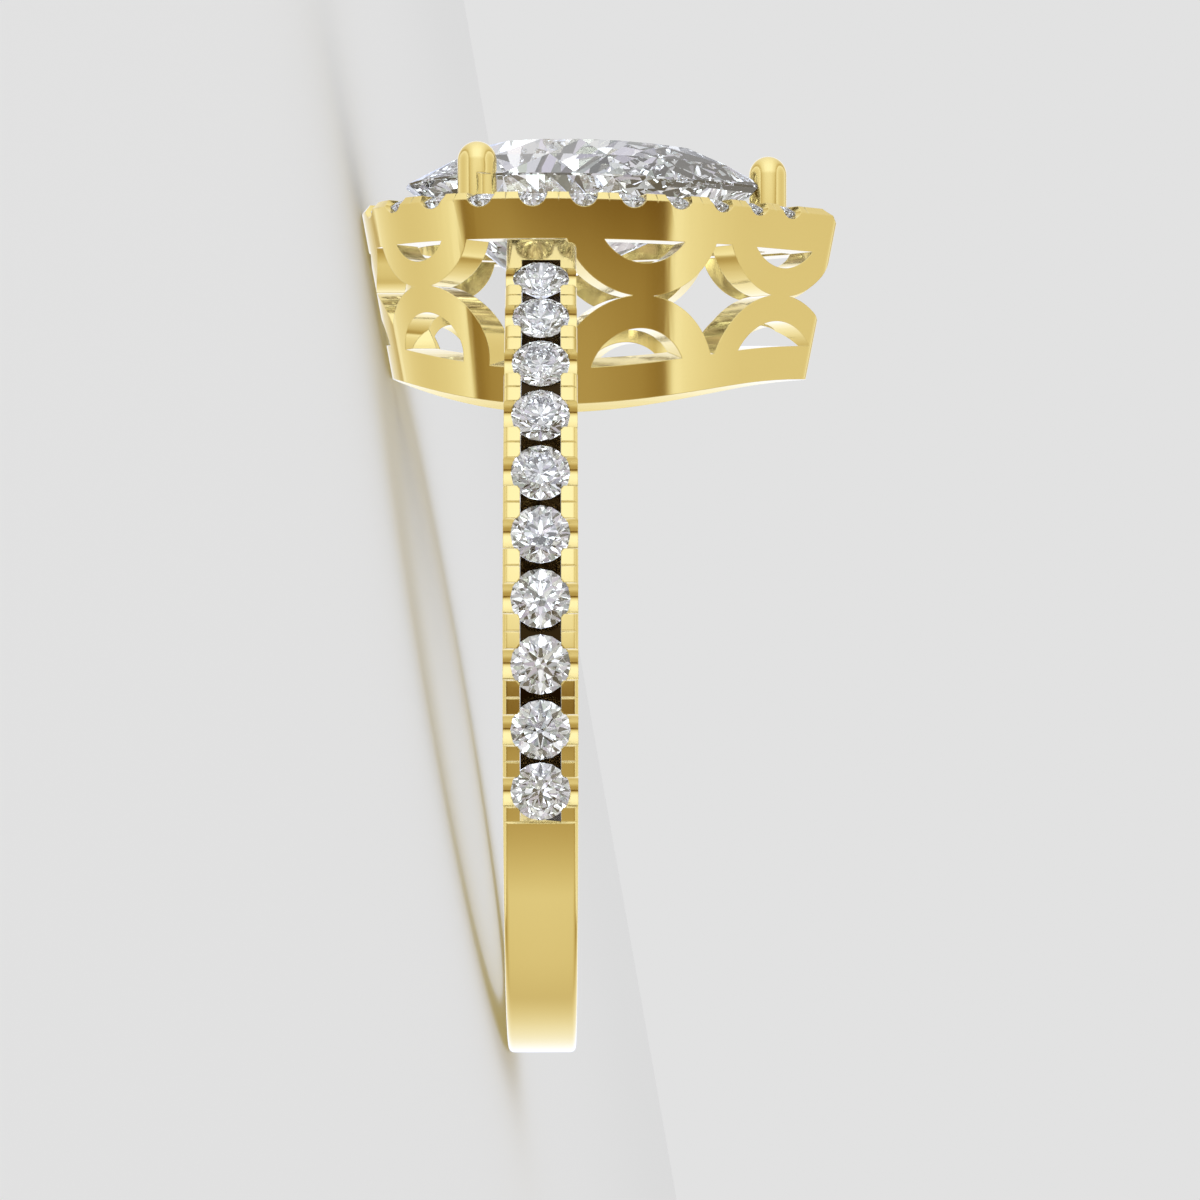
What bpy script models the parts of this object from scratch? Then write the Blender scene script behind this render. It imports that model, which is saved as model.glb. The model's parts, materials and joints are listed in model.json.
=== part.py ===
"""Pear halo ring in yellow gold, lying on its side.

The ring is modelled upright, with the finger along X, the pear's tip at +X and the head at +Z,
and every piece hangs from one empty. At the end the empty lays the ring on its side, where it
rests on the rim of the head and on the lowest edge of the shank.
"""

import math
from dataclasses import dataclass

import bmesh
import bpy
from mathutils import Matrix, Vector

MM = 0.001
WELD = 0.001 * MM

# Finger hole and shank
FINGER_RADIUS = 8.65 * MM
SHANK_HALF_WIDTH = 0.92 * MM
SHANK_BOTTOM_RADIUS = 10.2 * MM
SHANK_SIDE_RADIUS = 10.65 * MM
SHOULDER_RADIUS = 13.2 * MM
SHOULDER_START_HEIGHT = 0.8 * MM
SHOULDER_END = 3.15 * MM
SHANK_CHAMFER = 0.15 * MM
LOWER_STEPS = 18
SHOULDER_STEPS = 12
ROUGH_BORE_RADIUS = 7.6 * MM
ROUGH_BORE_STEPS = 24
BORE_STEPS = 72
FINGER_CUT_LENGTH = 30 * MM

# Stones of the shank, counted down from the head
SHANK_STONES_PER_SIDE = 10
SHANK_STONE_DIAMETER = 1.457 * MM
SHANK_STONE_PITCH = 1.604 * MM
FIRST_STONE_FROM_SHOULDER_END = 3.08 * MM
GIRDLE_BELOW_RAIL = 0.1 * MM
CHANNEL_HALF_WIDTH = 0.5 * MM
CHANNEL_DEPTH = 1.1 * MM
CHANNEL_PAST_STONES = 0.66 * MM
SHANK_NOTCH_RADIUS = 0.385 * MM
SHANK_NOTCH_LENGTH = 3.0 * MM
SHANK_SEAT_OPEN_ABOVE = 0.6 * MM

# Head, from the lower band on the finger up to the rim of the halo
RIM_HEIGHT = 13.4 * MM
RIM_CHAMFER = 0.19 * MM
PLATE_UNDERSIDE = 12.17 * MM
WALL_FOOT = 7.4 * MM
WALL_THICKNESS = 0.8 * MM
HOLLOW_ABOVE_WINDOWS = 0.06 * MM
LOWER_BAND_RADIUS = 9.58 * MM
STONE_WELL_INSET = 1.45 * MM
WELL_PAST_PLATE = 0.5 * MM
HOLLOW_BELOW_FOOT = 1.0 * MM

# Rings of the pierced gallery: (height, outer radius, inner radius) of the upper and the lower
# one in each column, the columns by their place along the finger
GALLERY_RINGS = {
    -3.18 * MM: ((12.63 * MM, 1.64 * MM, 0.96 * MM), (9.24 * MM, 1.8 * MM, 1.08 * MM)),
    2.72 * MM: ((12.99 * MM, 2.29 * MM, 1.41 * MM), (8.49 * MM, 2.25 * MM, 1.37 * MM)),
    6.6 * MM: ((13.08 * MM, 2.2 * MM, 1.42 * MM), (8.55 * MM, 2.38 * MM, 1.66 * MM)),
}
END_RINGS = ((12.67 * MM, 1.64 * MM, 0.96 * MM), (9.27 * MM, 1.8 * MM, 1.08 * MM))
WAIST_HEIGHT = 10.73 * MM
GALLERY_REACH_OUT = 0.6 * MM
GALLERY_REACH_IN = 2.0 * MM
GALLERY_STEPS = 24
HALVES_OVERLAP = 0.02 * MM
WINDOW_LOW = (-8 * MM, -7 * MM, 6 * MM)
WINDOW_HIGH_X = 11 * MM
BAND_STEPS = 96

# Stones of the halo
HALO_STONES = 24
HALO_STONE_DIAMETER = 1.15 * MM
HALO_STONE_INSET = 0.72 * MM
HALO_GIRDLE_HEIGHT = 13.2 * MM
HALO_NOTCH_RADIUS = 0.39 * MM
HALO_NOTCH_REACH = 0.75 * MM
HALO_SEAT_OPEN_ABOVE = 0.3 * MM

# Centre stone
CENTRE_GIRDLE_HEIGHT = 14.0 * MM
CENTRE_GIRDLE_THICKNESS = 0.06 * MM
CENTRE_CROWN = 1.1 * MM
CENTRE_PAVILION = 2.95 * MM
CENTRE_TABLE_SHARE = 0.56
CENTRE_CULET_X = -0.2 * MM
CENTRE_STEPS = (6, 5, 1)

# Prongs
PRONG_RADIUS = 0.53 * MM
PRONG_TOP = 14.9 * MM
PRONG_FOOT = 12.4 * MM
SIDE_PRONG_X = -1.73 * MM
SIDE_PRONG_Y = 3.0 * MM
TIP_PRONG_X = 6.35 * MM
PRONG_PLACES = ((SIDE_PRONG_X, SIDE_PRONG_Y), (SIDE_PRONG_X, -SIDE_PRONG_Y), (TIP_PRONG_X, 0.0))
PRONG_STEPS = 16
PRONG_DOME_STEPS = 4

# Round stones, as shares of their diameter
CROWN_SHARE = 0.145
PAVILION_SHARE = 0.43
GIRDLE_SHARE = 0.03
TABLE_SHARE = 0.57
TABLE_SIDES = 8

# Pear outlines: share of the length where the pear is widest, and how its tip follows an inset
WIDEST_SHARE = 0.37
TIP_HALF_ANGLE = math.radians(40)
TIP_INSET_EASE = 0.92
TIP_RADIUS_LOSS = 0.3
SMALLEST_TIP_RADIUS = 0.15 * MM
FINE_STEPS = (60, 40, 12)

# Gap between a stone and its setting
SEAT_GAP = 0.05 * MM
SEAT_STEPS = 12

SHARP_EDGE = math.radians(30)
GOLD = ("polished_yellow_gold", (0.83, 0.62, 0.22, 1.0), 0.12, 1.0)
DIAMOND = ("clear_stone", (0.92, 0.94, 0.97, 1.0), 0.02, 0.0)


@dataclass(frozen=True)
class Pear:
    """A pear outline: an elliptic round end, two flank arcs, two straights and a round tip."""

    round_end: float
    tip: float
    half_width: float
    tip_radius: float = 0.5 * MM
    half_angle: float = TIP_HALF_ANGLE
    widest_share: float = WIDEST_SHARE

    def inset(self, distance):
        """The same pear with its wall moved inwards."""
        tip_inset = distance / math.sin(self.half_angle) * TIP_INSET_EASE
        return Pear(
            self.round_end + distance,
            self.tip - tip_inset,
            self.half_width - distance,
            max(self.tip_radius - TIP_RADIUS_LOSS * distance, SMALLEST_TIP_RADIUS),
        )

    def mixed(self, other, share):
        """The pear a share of the way towards another."""
        def mix(a, b):
            return a + (b - a) * share
        return Pear(
            mix(self.round_end, other.round_end),
            mix(self.tip, other.tip),
            mix(self.half_width, other.half_width),
            mix(self.tip_radius, other.tip_radius),
        )

    def half(self, end_steps, flank_steps, tip_steps):
        """Points of the half at +Y, from the round end to the tip."""
        widest = self.round_end + self.widest_share * (self.tip - self.round_end)
        sine = math.sin(self.half_angle)
        cosine = math.cos(self.half_angle)
        tip_centre = self.tip - self.tip_radius
        apex = tip_centre + self.tip_radius / sine
        slope = sine / cosine
        flank_radius = ((apex - widest) * slope - self.half_width) / (sine * slope - (1 - cosine))
        points = []
        for step in range(end_steps):
            angle = math.pi / 2 * step / end_steps
            x = widest - (widest - self.round_end) * math.cos(angle)
            points.append((x, self.half_width * math.sin(angle)))
        for step in range(flank_steps + 1):
            angle = self.half_angle * step / flank_steps
            x = widest + flank_radius * math.sin(angle)
            y = self.half_width - flank_radius * (1 - math.cos(angle))
            points.append((x, y))
        for step in range(tip_steps + 1):
            angle = self.half_angle + (math.pi / 2 - self.half_angle) * step / tip_steps
            x = tip_centre + self.tip_radius * math.sin(angle)
            y = self.tip_radius * math.cos(angle)
            points.append((x, y))
        return points

    def outline(self, end_steps=9, flank_steps=7, tip_steps=2):
        """Points all the way round, anticlockwise, ending at the round end's middle."""
        upper = self.half(end_steps, flank_steps, tip_steps)
        lower = [(x, -y) for x, y in upper[1:-1]]
        return lower + [upper[-1]] + upper[1:-1][::-1] + [upper[0]]


RIM = Pear(-5.07 * MM, 8.36 * MM, 4.6 * MM)
FOOT = Pear(-3.97 * MM, 7.19 * MM, 3.62 * MM)
CENTRE = Pear(-3.8 * MM, 6.3 * MM, 3.33 * MM, 0.35 * MM)


def wall_at(height):
    """The head's outer outline at a height, on the straight taper from foot to rim."""
    share = (height - WALL_FOOT) / (RIM_HEIGHT - WALL_FOOT)
    return FOOT.mixed(RIM, share)


def clear_scene():
    """Remove every object of the open scene."""
    for thing in list(bpy.data.objects):
        bpy.data.objects.remove(thing, do_unlink=True)


def new_collection(name):
    """A new collection in the scene."""
    collection = bpy.data.collections.new(name)
    bpy.context.scene.collection.children.link(collection)
    return collection


def new_material(name, colour, roughness, metallic):
    """A plain finish."""
    material = bpy.data.materials.new(name)
    material.use_nodes = True
    shader = material.node_tree.nodes["Principled BSDF"]
    shader.inputs["Base Color"].default_value = colour
    shader.inputs["Roughness"].default_value = roughness
    shader.inputs["Metallic"].default_value = metallic
    material.diffuse_color = colour
    return material


def add_object(name, mesh, collection, material=None):
    """A new object in a collection, with its material if it has one."""
    thing = bpy.data.objects.new(name, mesh)
    collection.objects.link(thing)
    if material is not None:
        mesh.materials.append(material)
    return thing


def mesh_from(bm, name):
    """Turn a bmesh into a mesh whose faces point out."""
    bmesh.ops.recalc_face_normals(bm, faces=bm.faces)
    mesh = bpy.data.meshes.new(name)
    bm.to_mesh(mesh)
    bm.free()
    return mesh


def mark_cutter(thing):
    """Keep a helper solid out of the model."""
    thing.hide_render = True
    thing.display_type = "WIRE"
    return thing


def evaluated_mesh(thing):
    """The mesh that an object's modifiers or curve give."""
    graph = bpy.context.evaluated_depsgraph_get()
    return bpy.data.meshes.new_from_object(thing.evaluated_get(graph))


def baked(thing):
    """Replace an object's mesh by its evaluated one and drop its modifiers."""
    mesh = evaluated_mesh(thing)
    thing.modifiers.clear()
    thing.data = mesh
    return thing


def cut(target, operand, operation="DIFFERENCE"):
    """Run a Boolean on the target. The exact solver leaves open edges in this many cuts."""
    modifier = target.modifiers.new(operation.lower(), "BOOLEAN")
    modifier.operation = operation
    modifier.solver = "MANIFOLD"
    modifier.object = operand
    return baked(target)


def loft(name, sections, collection):
    """A closed solid through outlines that have the same number of points, each at a height."""
    bm = bmesh.new()
    rings = [[bm.verts.new((x, y, z)) for x, y in outline] for outline, z in sections]
    count = len(rings[0])
    for below, above in zip(rings, rings[1:]):
        for i in range(count):
            j = (i + 1) % count
            bm.faces.new((below[i], below[j], above[j], above[i]))
    bm.faces.new(rings[0])
    bm.faces.new(rings[-1])
    return add_object(name, mesh_from(bm, name), collection)


def plate(name, outline, half_thickness, collection):
    """A flat outline in the YZ plane, extruded both ways along X."""
    curve = bpy.data.curves.new(name, "CURVE")
    curve.dimensions = "2D"
    curve.fill_mode = "BOTH"
    curve.extrude = half_thickness
    spline = curve.splines.new("POLY")
    spline.points.add(len(outline) - 1)
    for point, (y, z) in zip(spline.points, outline):
        point.co = (y, z, 0.0, 1.0)
    spline.use_cyclic_u = True
    guide = add_object(name + "_outline", curve, collection)
    mesh = evaluated_mesh(guide)
    bpy.data.objects.remove(guide)
    bm = bmesh.new()
    bm.from_mesh(mesh)
    bmesh.ops.remove_doubles(bm, verts=bm.verts, dist=WELD)
    stand_up = Matrix(((0, 0, 1, 0), (1, 0, 0, 0), (0, 1, 0, 0), (0, 0, 0, 1)))
    bmesh.ops.transform(bm, matrix=stand_up, verts=bm.verts)
    return add_object(name, mesh_from(bm, name), collection)


def turned(name, profile, steps, collection, closed=False):
    """A profile of (radius, height) points, turned about Z."""
    bm = bmesh.new()
    verts = [bm.verts.new((radius, 0.0, height)) for radius, height in profile]
    for a, b in zip(verts, verts[1:]):
        bm.edges.new((a, b))
    if closed:
        bm.edges.new((verts[-1], verts[0]))
    mesh = bpy.data.meshes.new(name)
    bm.to_mesh(mesh)
    bm.free()
    thing = add_object(name, mesh, collection)
    screw = thing.modifiers.new("turn", "SCREW")
    screw.steps = steps
    screw.render_steps = steps
    screw.use_merge_vertices = True
    screw.merge_threshold = WELD
    return baked(thing)


def placed(thing, matrix):
    """Move an object's mesh by a matrix, so the object itself stays at the origin."""
    thing.data.transform(matrix)
    return thing


def frame_at(origin, axis):
    """A matrix that stands local Z on an axis, with local X as level as it can be."""
    return Matrix.Translation(origin) @ Vector(axis).to_track_quat("Z", "Y").to_matrix().to_4x4()


class ShoulderPath:
    """The shank's outer line on one side, by length from its end at the head."""

    def __init__(self):
        self.centre_y = SHANK_SIDE_RADIUS - SHOULDER_RADIUS
        reach = (SHOULDER_END - self.centre_y) / SHOULDER_RADIUS
        self.top_angle = math.acos(reach)
        self.arc_length = self.top_angle * SHOULDER_RADIUS

    def point(self, length):
        """Place (y, z) and outward direction (y, z) at a length below the shoulder's end."""
        if length <= self.arc_length:
            angle = self.top_angle - length / SHOULDER_RADIUS
            y = self.centre_y + SHOULDER_RADIUS * math.cos(angle)
            z = SHOULDER_START_HEIGHT + SHOULDER_RADIUS * math.sin(angle)
            return (y, z), (math.cos(angle), math.sin(angle))
        below = length - self.arc_length
        if below <= SHOULDER_START_HEIGHT:
            return (SHANK_SIDE_RADIUS, SHOULDER_START_HEIGHT - below), (1.0, 0.0)
        return lower_point((below - SHOULDER_START_HEIGHT) / SHANK_SIDE_RADIUS)


def lower_point(angle):
    """Place and outward direction on the elliptic lower half, by angle below the side."""
    y = SHANK_SIDE_RADIUS * math.cos(angle)
    z = -SHANK_BOTTOM_RADIUS * math.sin(angle)
    outward = Vector((y / SHANK_SIDE_RADIUS ** 2, z / SHANK_BOTTOM_RADIUS ** 2)).normalized()
    return (y, z), (outward.x, outward.y)


def stone_lengths():
    """Lengths of one shoulder's stones below its end at the head."""
    return [FIRST_STONE_FROM_SHOULDER_END + i * SHANK_STONE_PITCH for i in range(SHANK_STONES_PER_SIDE)]


def shank_outline():
    """The shank seen along the finger, open at the head."""
    path = ShoulderPath()
    side = [path.point(path.arc_length * i / SHOULDER_STEPS)[0] for i in range(SHOULDER_STEPS + 1)]
    side += [lower_point(math.pi / 2 * i / LOWER_STEPS)[0] for i in range(LOWER_STEPS + 1)]
    outer = side + [(-y, z) for y, z in side[-2::-1]]
    gap = math.asin(SHOULDER_END / ROUGH_BORE_RADIUS)
    inner = []
    for i in range(ROUGH_BORE_STEPS + 1):
        angle = -gap - (2 * math.pi - 2 * gap) * i / ROUGH_BORE_STEPS
        inner.append((ROUGH_BORE_RADIUS * math.sin(angle), ROUGH_BORE_RADIUS * math.cos(angle)))
    return outer + inner


def make_shank(collection):
    """The plain band and its shoulders, with the outer edges chamfered."""
    shank = plate("shank", shank_outline(), SHANK_HALF_WIDTH, collection)
    bm = bmesh.new()
    bm.from_mesh(shank.data)
    bmesh.ops.dissolve_limit(bm, angle_limit=math.radians(0.5), verts=bm.verts, edges=bm.edges)
    rims = [edge for edge in bm.edges if is_outer_edge(edge)]
    bmesh.ops.bevel(bm, geom=rims, offset=SHANK_CHAMFER, segments=1, profile=0.5, affect="EDGES")
    bm.to_mesh(shank.data)
    bm.free()
    return shank


def is_outer_edge(edge):
    """True for an edge on a side face that lies outside the finger hole's own rim."""
    a, b = edge.verts
    same_side = abs(a.co.x - b.co.x) < WELD
    outside = min(math.hypot(v.co.y, v.co.z) for v in (a, b)) > FINGER_RADIUS
    upright_end = abs(a.co.y - b.co.y) < WELD and a.co.z > 0 and b.co.z > 0
    return same_side and outside and not upright_end


def make_channel(sign, collection):
    """The slot under the stones of one shoulder."""
    path = ShoulderPath()
    lengths = stone_lengths()
    start = lengths[0] - CHANNEL_PAST_STONES
    end = lengths[-1] + CHANNEL_PAST_STONES
    top = []
    floor = []
    for i in range(SHOULDER_STEPS + 1):
        (y, z), (ny, nz) = path.point(start + (end - start) * i / SHOULDER_STEPS)
        top.append((sign * (y + ny * CHANNEL_DEPTH), z + nz * CHANNEL_DEPTH))
        floor.append((sign * (y - ny * CHANNEL_DEPTH), z - nz * CHANNEL_DEPTH))
    return plate("channel_cutter", top + floor[::-1], CHANNEL_HALF_WIDTH, collection)


def round_stone(name, diameter, collection, material):
    """A round cut stone with its girdle at the origin: table, crown, girdle and pavilion."""
    radius = diameter / 2
    girdle = GIRDLE_SHARE * diameter / 2
    table = TABLE_SHARE * radius
    top = girdle + CROWN_SHARE * diameter
    bm = bmesh.new()
    for i in range(TABLE_SIDES):
        angle = 2 * math.pi * i / TABLE_SIDES
        bm.verts.new((table * math.cos(angle), table * math.sin(angle), top))
    for i in range(2 * TABLE_SIDES):
        angle = math.pi * i / TABLE_SIDES
        for height in (girdle, -girdle):
            bm.verts.new((radius * math.cos(angle), radius * math.sin(angle), height))
    bm.verts.new((0.0, 0.0, -girdle - PAVILION_SHARE * diameter))
    bmesh.ops.convex_hull(bm, input=bm.verts)
    return add_object(name, mesh_from(bm, name), collection, material)


def seat(name, diameter, height_above, collection):
    """The hollow that a round stone sits in, a gap larger than the stone."""
    radius = diameter / 2 + SEAT_GAP
    girdle = GIRDLE_SHARE * diameter / 2 + SEAT_GAP
    foot = -girdle - PAVILION_SHARE * diameter - SEAT_GAP
    profile = [(0.0, height_above), (radius, height_above), (radius, -girdle), (0.0, foot)]
    return turned(name, profile, SEAT_STEPS, collection)


def shank_stone_frames():
    """Where the shank's stones stand: first the side at -Y from the head down, then the other."""
    path = ShoulderPath()
    frames = []
    for sign in (-1, 1):
        for length in stone_lengths():
            (y, z), (ny, nz) = path.point(length)
            place = Vector((0.0, sign * (y - ny * GIRDLE_BELOW_RAIL), z - nz * GIRDLE_BELOW_RAIL))
            frames.append(frame_at(place, (0.0, sign * ny, nz)))
    return frames


def halo_stone_frames():
    """Centres of the halo's stones, spaced evenly from the round end, with their ways out."""
    line = [Vector(point) for point in RIM.inset(HALO_STONE_INSET).outline(*FINE_STEPS)]
    loop = line[-1:] + line
    total = sum((b - a).length for a, b in zip(loop, loop[1:]))
    frames = []
    for i in range(HALO_STONES):
        wanted = total * i / HALO_STONES
        for a, b in zip(loop, loop[1:]):
            step = (b - a).length
            if wanted < step:
                along = (b - a) / step
                centre = a + along * wanted
                place = Vector((centre.x, centre.y, HALO_GIRDLE_HEIGHT))
                frames.append((place, Vector((along.y, -along.x))))
                break
            wanted -= step
    return frames


def make_head(collection):
    """Wall, rim and lower band as one body, hollow inside and arched over the finger."""
    shoulder = RIM_HEIGHT - RIM_CHAMFER
    sections = [
        (wall_at(WALL_FOOT).outline(), WALL_FOOT),
        (wall_at(shoulder).outline(), shoulder),
        (wall_at(RIM_HEIGHT).inset(RIM_CHAMFER).outline(), RIM_HEIGHT),
    ]
    head = loft("head", sections, collection)
    foot = WALL_FOOT - HOLLOW_BELOW_FOOT
    ceiling = PLATE_UNDERSIDE + HOLLOW_ABOVE_WINDOWS
    hollow = loft("hollow_cutter", [
        (wall_at(foot).inset(WALL_THICKNESS).outline(), foot),
        (wall_at(ceiling).inset(WALL_THICKNESS).outline(), ceiling),
    ], collection)
    cut(head, mark_cutter(hollow))
    well = loft("well_cutter", [
        (RIM.inset(STONE_WELL_INSET).outline(), PLATE_UNDERSIDE - WELL_PAST_PLATE),
        (RIM.inset(STONE_WELL_INSET).outline(), RIM_HEIGHT + WELL_PAST_PLATE),
    ], collection)
    cut(head, mark_cutter(well))
    return head


def finger_cylinder(name, radius, steps, collection):
    """A long cylinder along the finger."""
    bm = bmesh.new()
    bmesh.ops.create_cone(
        bm, cap_ends=True, segments=steps, radius1=radius, radius2=radius, depth=FINGER_CUT_LENGTH
    )
    bmesh.ops.rotate(bm, verts=bm.verts, matrix=Matrix.Rotation(math.pi / steps, 3, "Z"))
    bmesh.ops.rotate(bm, verts=bm.verts, matrix=Matrix.Rotation(math.pi / 2, 3, "Y"))
    return mark_cutter(add_object(name, mesh_from(bm, name), collection))


def gallery_frame(x):
    """Where a gallery column crosses the wall at -Y, and the way out there."""
    line = wall_at(WAIST_HEIGHT).half(*FINE_STEPS)
    for (x0, y0), (x1, y1) in zip(line, line[1:]):
        if x0 <= x <= x1:
            share = (x - x0) / (x1 - x0)
            along = Vector((x1 - x0, y1 - y0)).normalized()
            return Vector((x, -(y0 + (y1 - y0) * share), 0.0)), Vector((-along.y, -along.x, 0.0))
    raise ValueError("the column lies outside the head")


def gallery_window(collection):
    """What is cut from the half of the wall at -Y: the space between band and rim, less the rings."""
    bm = bmesh.new()
    bmesh.ops.create_cube(bm, size=1.0)
    low = Vector(WINDOW_LOW)
    high = Vector((WINDOW_HIGH_X, HALVES_OVERLAP, PLATE_UNDERSIDE))
    size = high - low
    stretch = Matrix.Translation((low + high) / 2) @ Matrix.Diagonal((*size, 1.0))
    bmesh.ops.transform(bm, matrix=stretch, verts=bm.verts)
    window = mark_cutter(add_object("window_cutter", mesh_from(bm, "window_cutter"), collection))
    cut(window, finger_cylinder("band_cutter", LOWER_BAND_RADIUS, BAND_STEPS, collection))
    for x, rings in GALLERY_RINGS.items():
        place, outward = gallery_frame(x)
        for ring in rings:
            cut(window, gallery_ring(place, outward, ring, collection))
    end = Vector((wall_at(WAIST_HEIGHT).round_end, 0.0, 0.0))
    for ring in END_RINGS:
        cut(window, gallery_ring(end, Vector((-1.0, 0.0, 0.0)), ring, collection))
    return window


def gallery_ring(place, outward, sizes, collection):
    """One ring of the gallery, which runs through the wall along the way out."""
    height, outer, inner = sizes
    half_length = (GALLERY_REACH_OUT + GALLERY_REACH_IN) / 2
    profile = [
        (inner, half_length), (outer, half_length), (outer, -half_length), (inner, -half_length)
    ]
    ring = turned("gallery_ring", profile, GALLERY_STEPS, collection, closed=True)
    centre = place + outward * (GALLERY_REACH_OUT - GALLERY_REACH_IN) / 2
    return mark_cutter(placed(ring, frame_at((centre.x, centre.y, height), outward)))


def mirrored(thing, name, collection):
    """A copy on the other side of the XZ plane."""
    bm = bmesh.new()
    bm.from_mesh(thing.data)
    bmesh.ops.transform(bm, matrix=Matrix.Diagonal((1.0, -1.0, 1.0, 1.0)), verts=bm.verts)
    bmesh.ops.reverse_faces(bm, faces=bm.faces)
    mesh = bpy.data.meshes.new(name)
    bm.to_mesh(mesh)
    bm.free()
    return mark_cutter(add_object(name, mesh, collection))


def make_prong(x, y, collection):
    """A round wire with a domed top."""
    profile = [
        (PRONG_RADIUS * math.sin(math.pi / 2 * i / PRONG_DOME_STEPS),
         PRONG_TOP - PRONG_RADIUS * (1 - math.cos(math.pi / 2 * i / PRONG_DOME_STEPS)))
        for i in range(PRONG_DOME_STEPS + 1)
    ]
    profile += [(PRONG_RADIUS, PRONG_FOOT), (0.0, PRONG_FOOT)]
    prong = turned("prong", profile, PRONG_STEPS, collection)
    return placed(prong, Matrix.Translation((x, y, 0.0)))


def pear_stone(name, grow, collection, material=None):
    """The centre stone as one convex cut body, grown by a gap where it serves as a cutter."""
    girdle = CENTRE_GIRDLE_THICKNESS / 2 + grow / 2
    outline = CENTRE.inset(-grow).outline(*CENTRE_STEPS)
    bm = bmesh.new()
    for height in (girdle, -girdle):
        for x, y in outline:
            bm.verts.new((x, y, CENTRE_GIRDLE_HEIGHT + height))
    top = CENTRE_GIRDLE_HEIGHT + girdle + CENTRE_CROWN
    middle = (CENTRE.round_end + CENTRE.tip) / 2
    for x, y in outline[::2]:
        bm.verts.new((middle + (x - middle) * CENTRE_TABLE_SHARE, y * CENTRE_TABLE_SHARE, top))
    bm.verts.new((CENTRE_CULET_X, 0.0, CENTRE_GIRDLE_HEIGHT - girdle - CENTRE_PAVILION - grow))
    bmesh.ops.convex_hull(bm, input=bm.verts)
    return add_object(name, mesh_from(bm, name), collection, material)


def make_ring_metal(model, cutters, material):
    """Shank, head and prongs soldered into one body, then cut for the stones."""
    head = make_head(cutters)
    window = gallery_window(cutters)
    cut(head, window)
    cut(head, mirrored(window, "far_window_cutter", cutters))
    metal = make_shank(model)
    metal.name = "ring_metal"
    metal.data.name = "ring_metal"
    cut(metal, mark_cutter(head), "UNION")
    for x, y in PRONG_PLACES:
        cut(metal, mark_cutter(make_prong(x, y, cutters)), "UNION")
    cut(metal, finger_cylinder("finger_cutter", FINGER_RADIUS, BORE_STEPS, cutters))
    cut(metal, mark_cutter(pear_stone("centre_seat_cutter", SEAT_GAP, cutters)))
    cut_shank_seats(metal, cutters)
    cut_halo_seats(metal, cutters)
    metal.data.materials.clear()
    metal.data.materials.append(material)
    return metal


def cut_shank_seats(metal, cutters):
    """Cut each shoulder's channel, and a seat and a cross notch for each of its stones."""
    for sign in (-1, 1):
        cut(metal, mark_cutter(make_channel(sign, cutters)))
    for frame in shank_stone_frames():
        hollow = seat("shank_seat_cutter", SHANK_STONE_DIAMETER, SHANK_SEAT_OPEN_ABOVE, cutters)
        cut(metal, placed(mark_cutter(hollow), frame))
        notch = notch_cutter("shank_notch_cutter", SHANK_NOTCH_RADIUS, SHANK_NOTCH_LENGTH, cutters)
        centre = frame @ Vector((0.0, 0.0, GIRDLE_BELOW_RAIL))
        cut(metal, placed(notch, Matrix.Translation(centre) @ Matrix.Rotation(math.pi / 2, 4, "Y")))


def notch_cutter(name, radius, length, collection):
    """A short round bar along Z."""
    bm = bmesh.new()
    bmesh.ops.create_cone(
        bm, cap_ends=True, segments=SEAT_STEPS, radius1=radius, radius2=radius, depth=length
    )
    return mark_cutter(add_object(name, mesh_from(bm, name), collection))


def cut_halo_seats(metal, cutters):
    """Cut a seat for each halo stone and a notch from it out through the rim."""
    for centre, outward in halo_stone_frames():
        hollow = seat("halo_seat_cutter", HALO_STONE_DIAMETER, HALO_SEAT_OPEN_ABOVE, cutters)
        cut(metal, placed(mark_cutter(hollow), Matrix.Translation(centre)))
        notch = notch_cutter("halo_notch_cutter", HALO_NOTCH_RADIUS, 2 * HALO_NOTCH_REACH, cutters)
        middle = Vector((centre.x, centre.y, RIM_HEIGHT)) + outward.to_3d() * HALO_NOTCH_REACH
        cut(metal, placed(notch, frame_at(middle, outward.to_3d())))


def lay_on_side(pieces, stand):
    """Lean the ring over about Y until its head touches the ground, and centre it over the origin."""
    low_edge = Vector((-SHANK_HALF_WIDTH, 0.0, -SHANK_BOTTOM_RADIUS + SHANK_CHAMFER))
    spans = [vert.co - low_edge for piece in pieces for vert in piece.data.vertices if vert.co.z > 0]
    lean = max(math.atan2(-span.x, span.z) for span in spans)
    stand.rotation_euler = (0.0, lean - math.pi / 2, 0.0)
    turn = stand.rotation_euler.to_matrix()
    corners = [turn @ vert.co for piece in pieces for vert in piece.data.vertices]
    low = [min(corner[axis] for corner in corners) for axis in range(3)]
    high = [max(corner[axis] for corner in corners) for axis in range(3)]
    stand.location = (-(low[0] + high[0]) / 2, -(low[1] + high[1]) / 2, -low[2])


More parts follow.
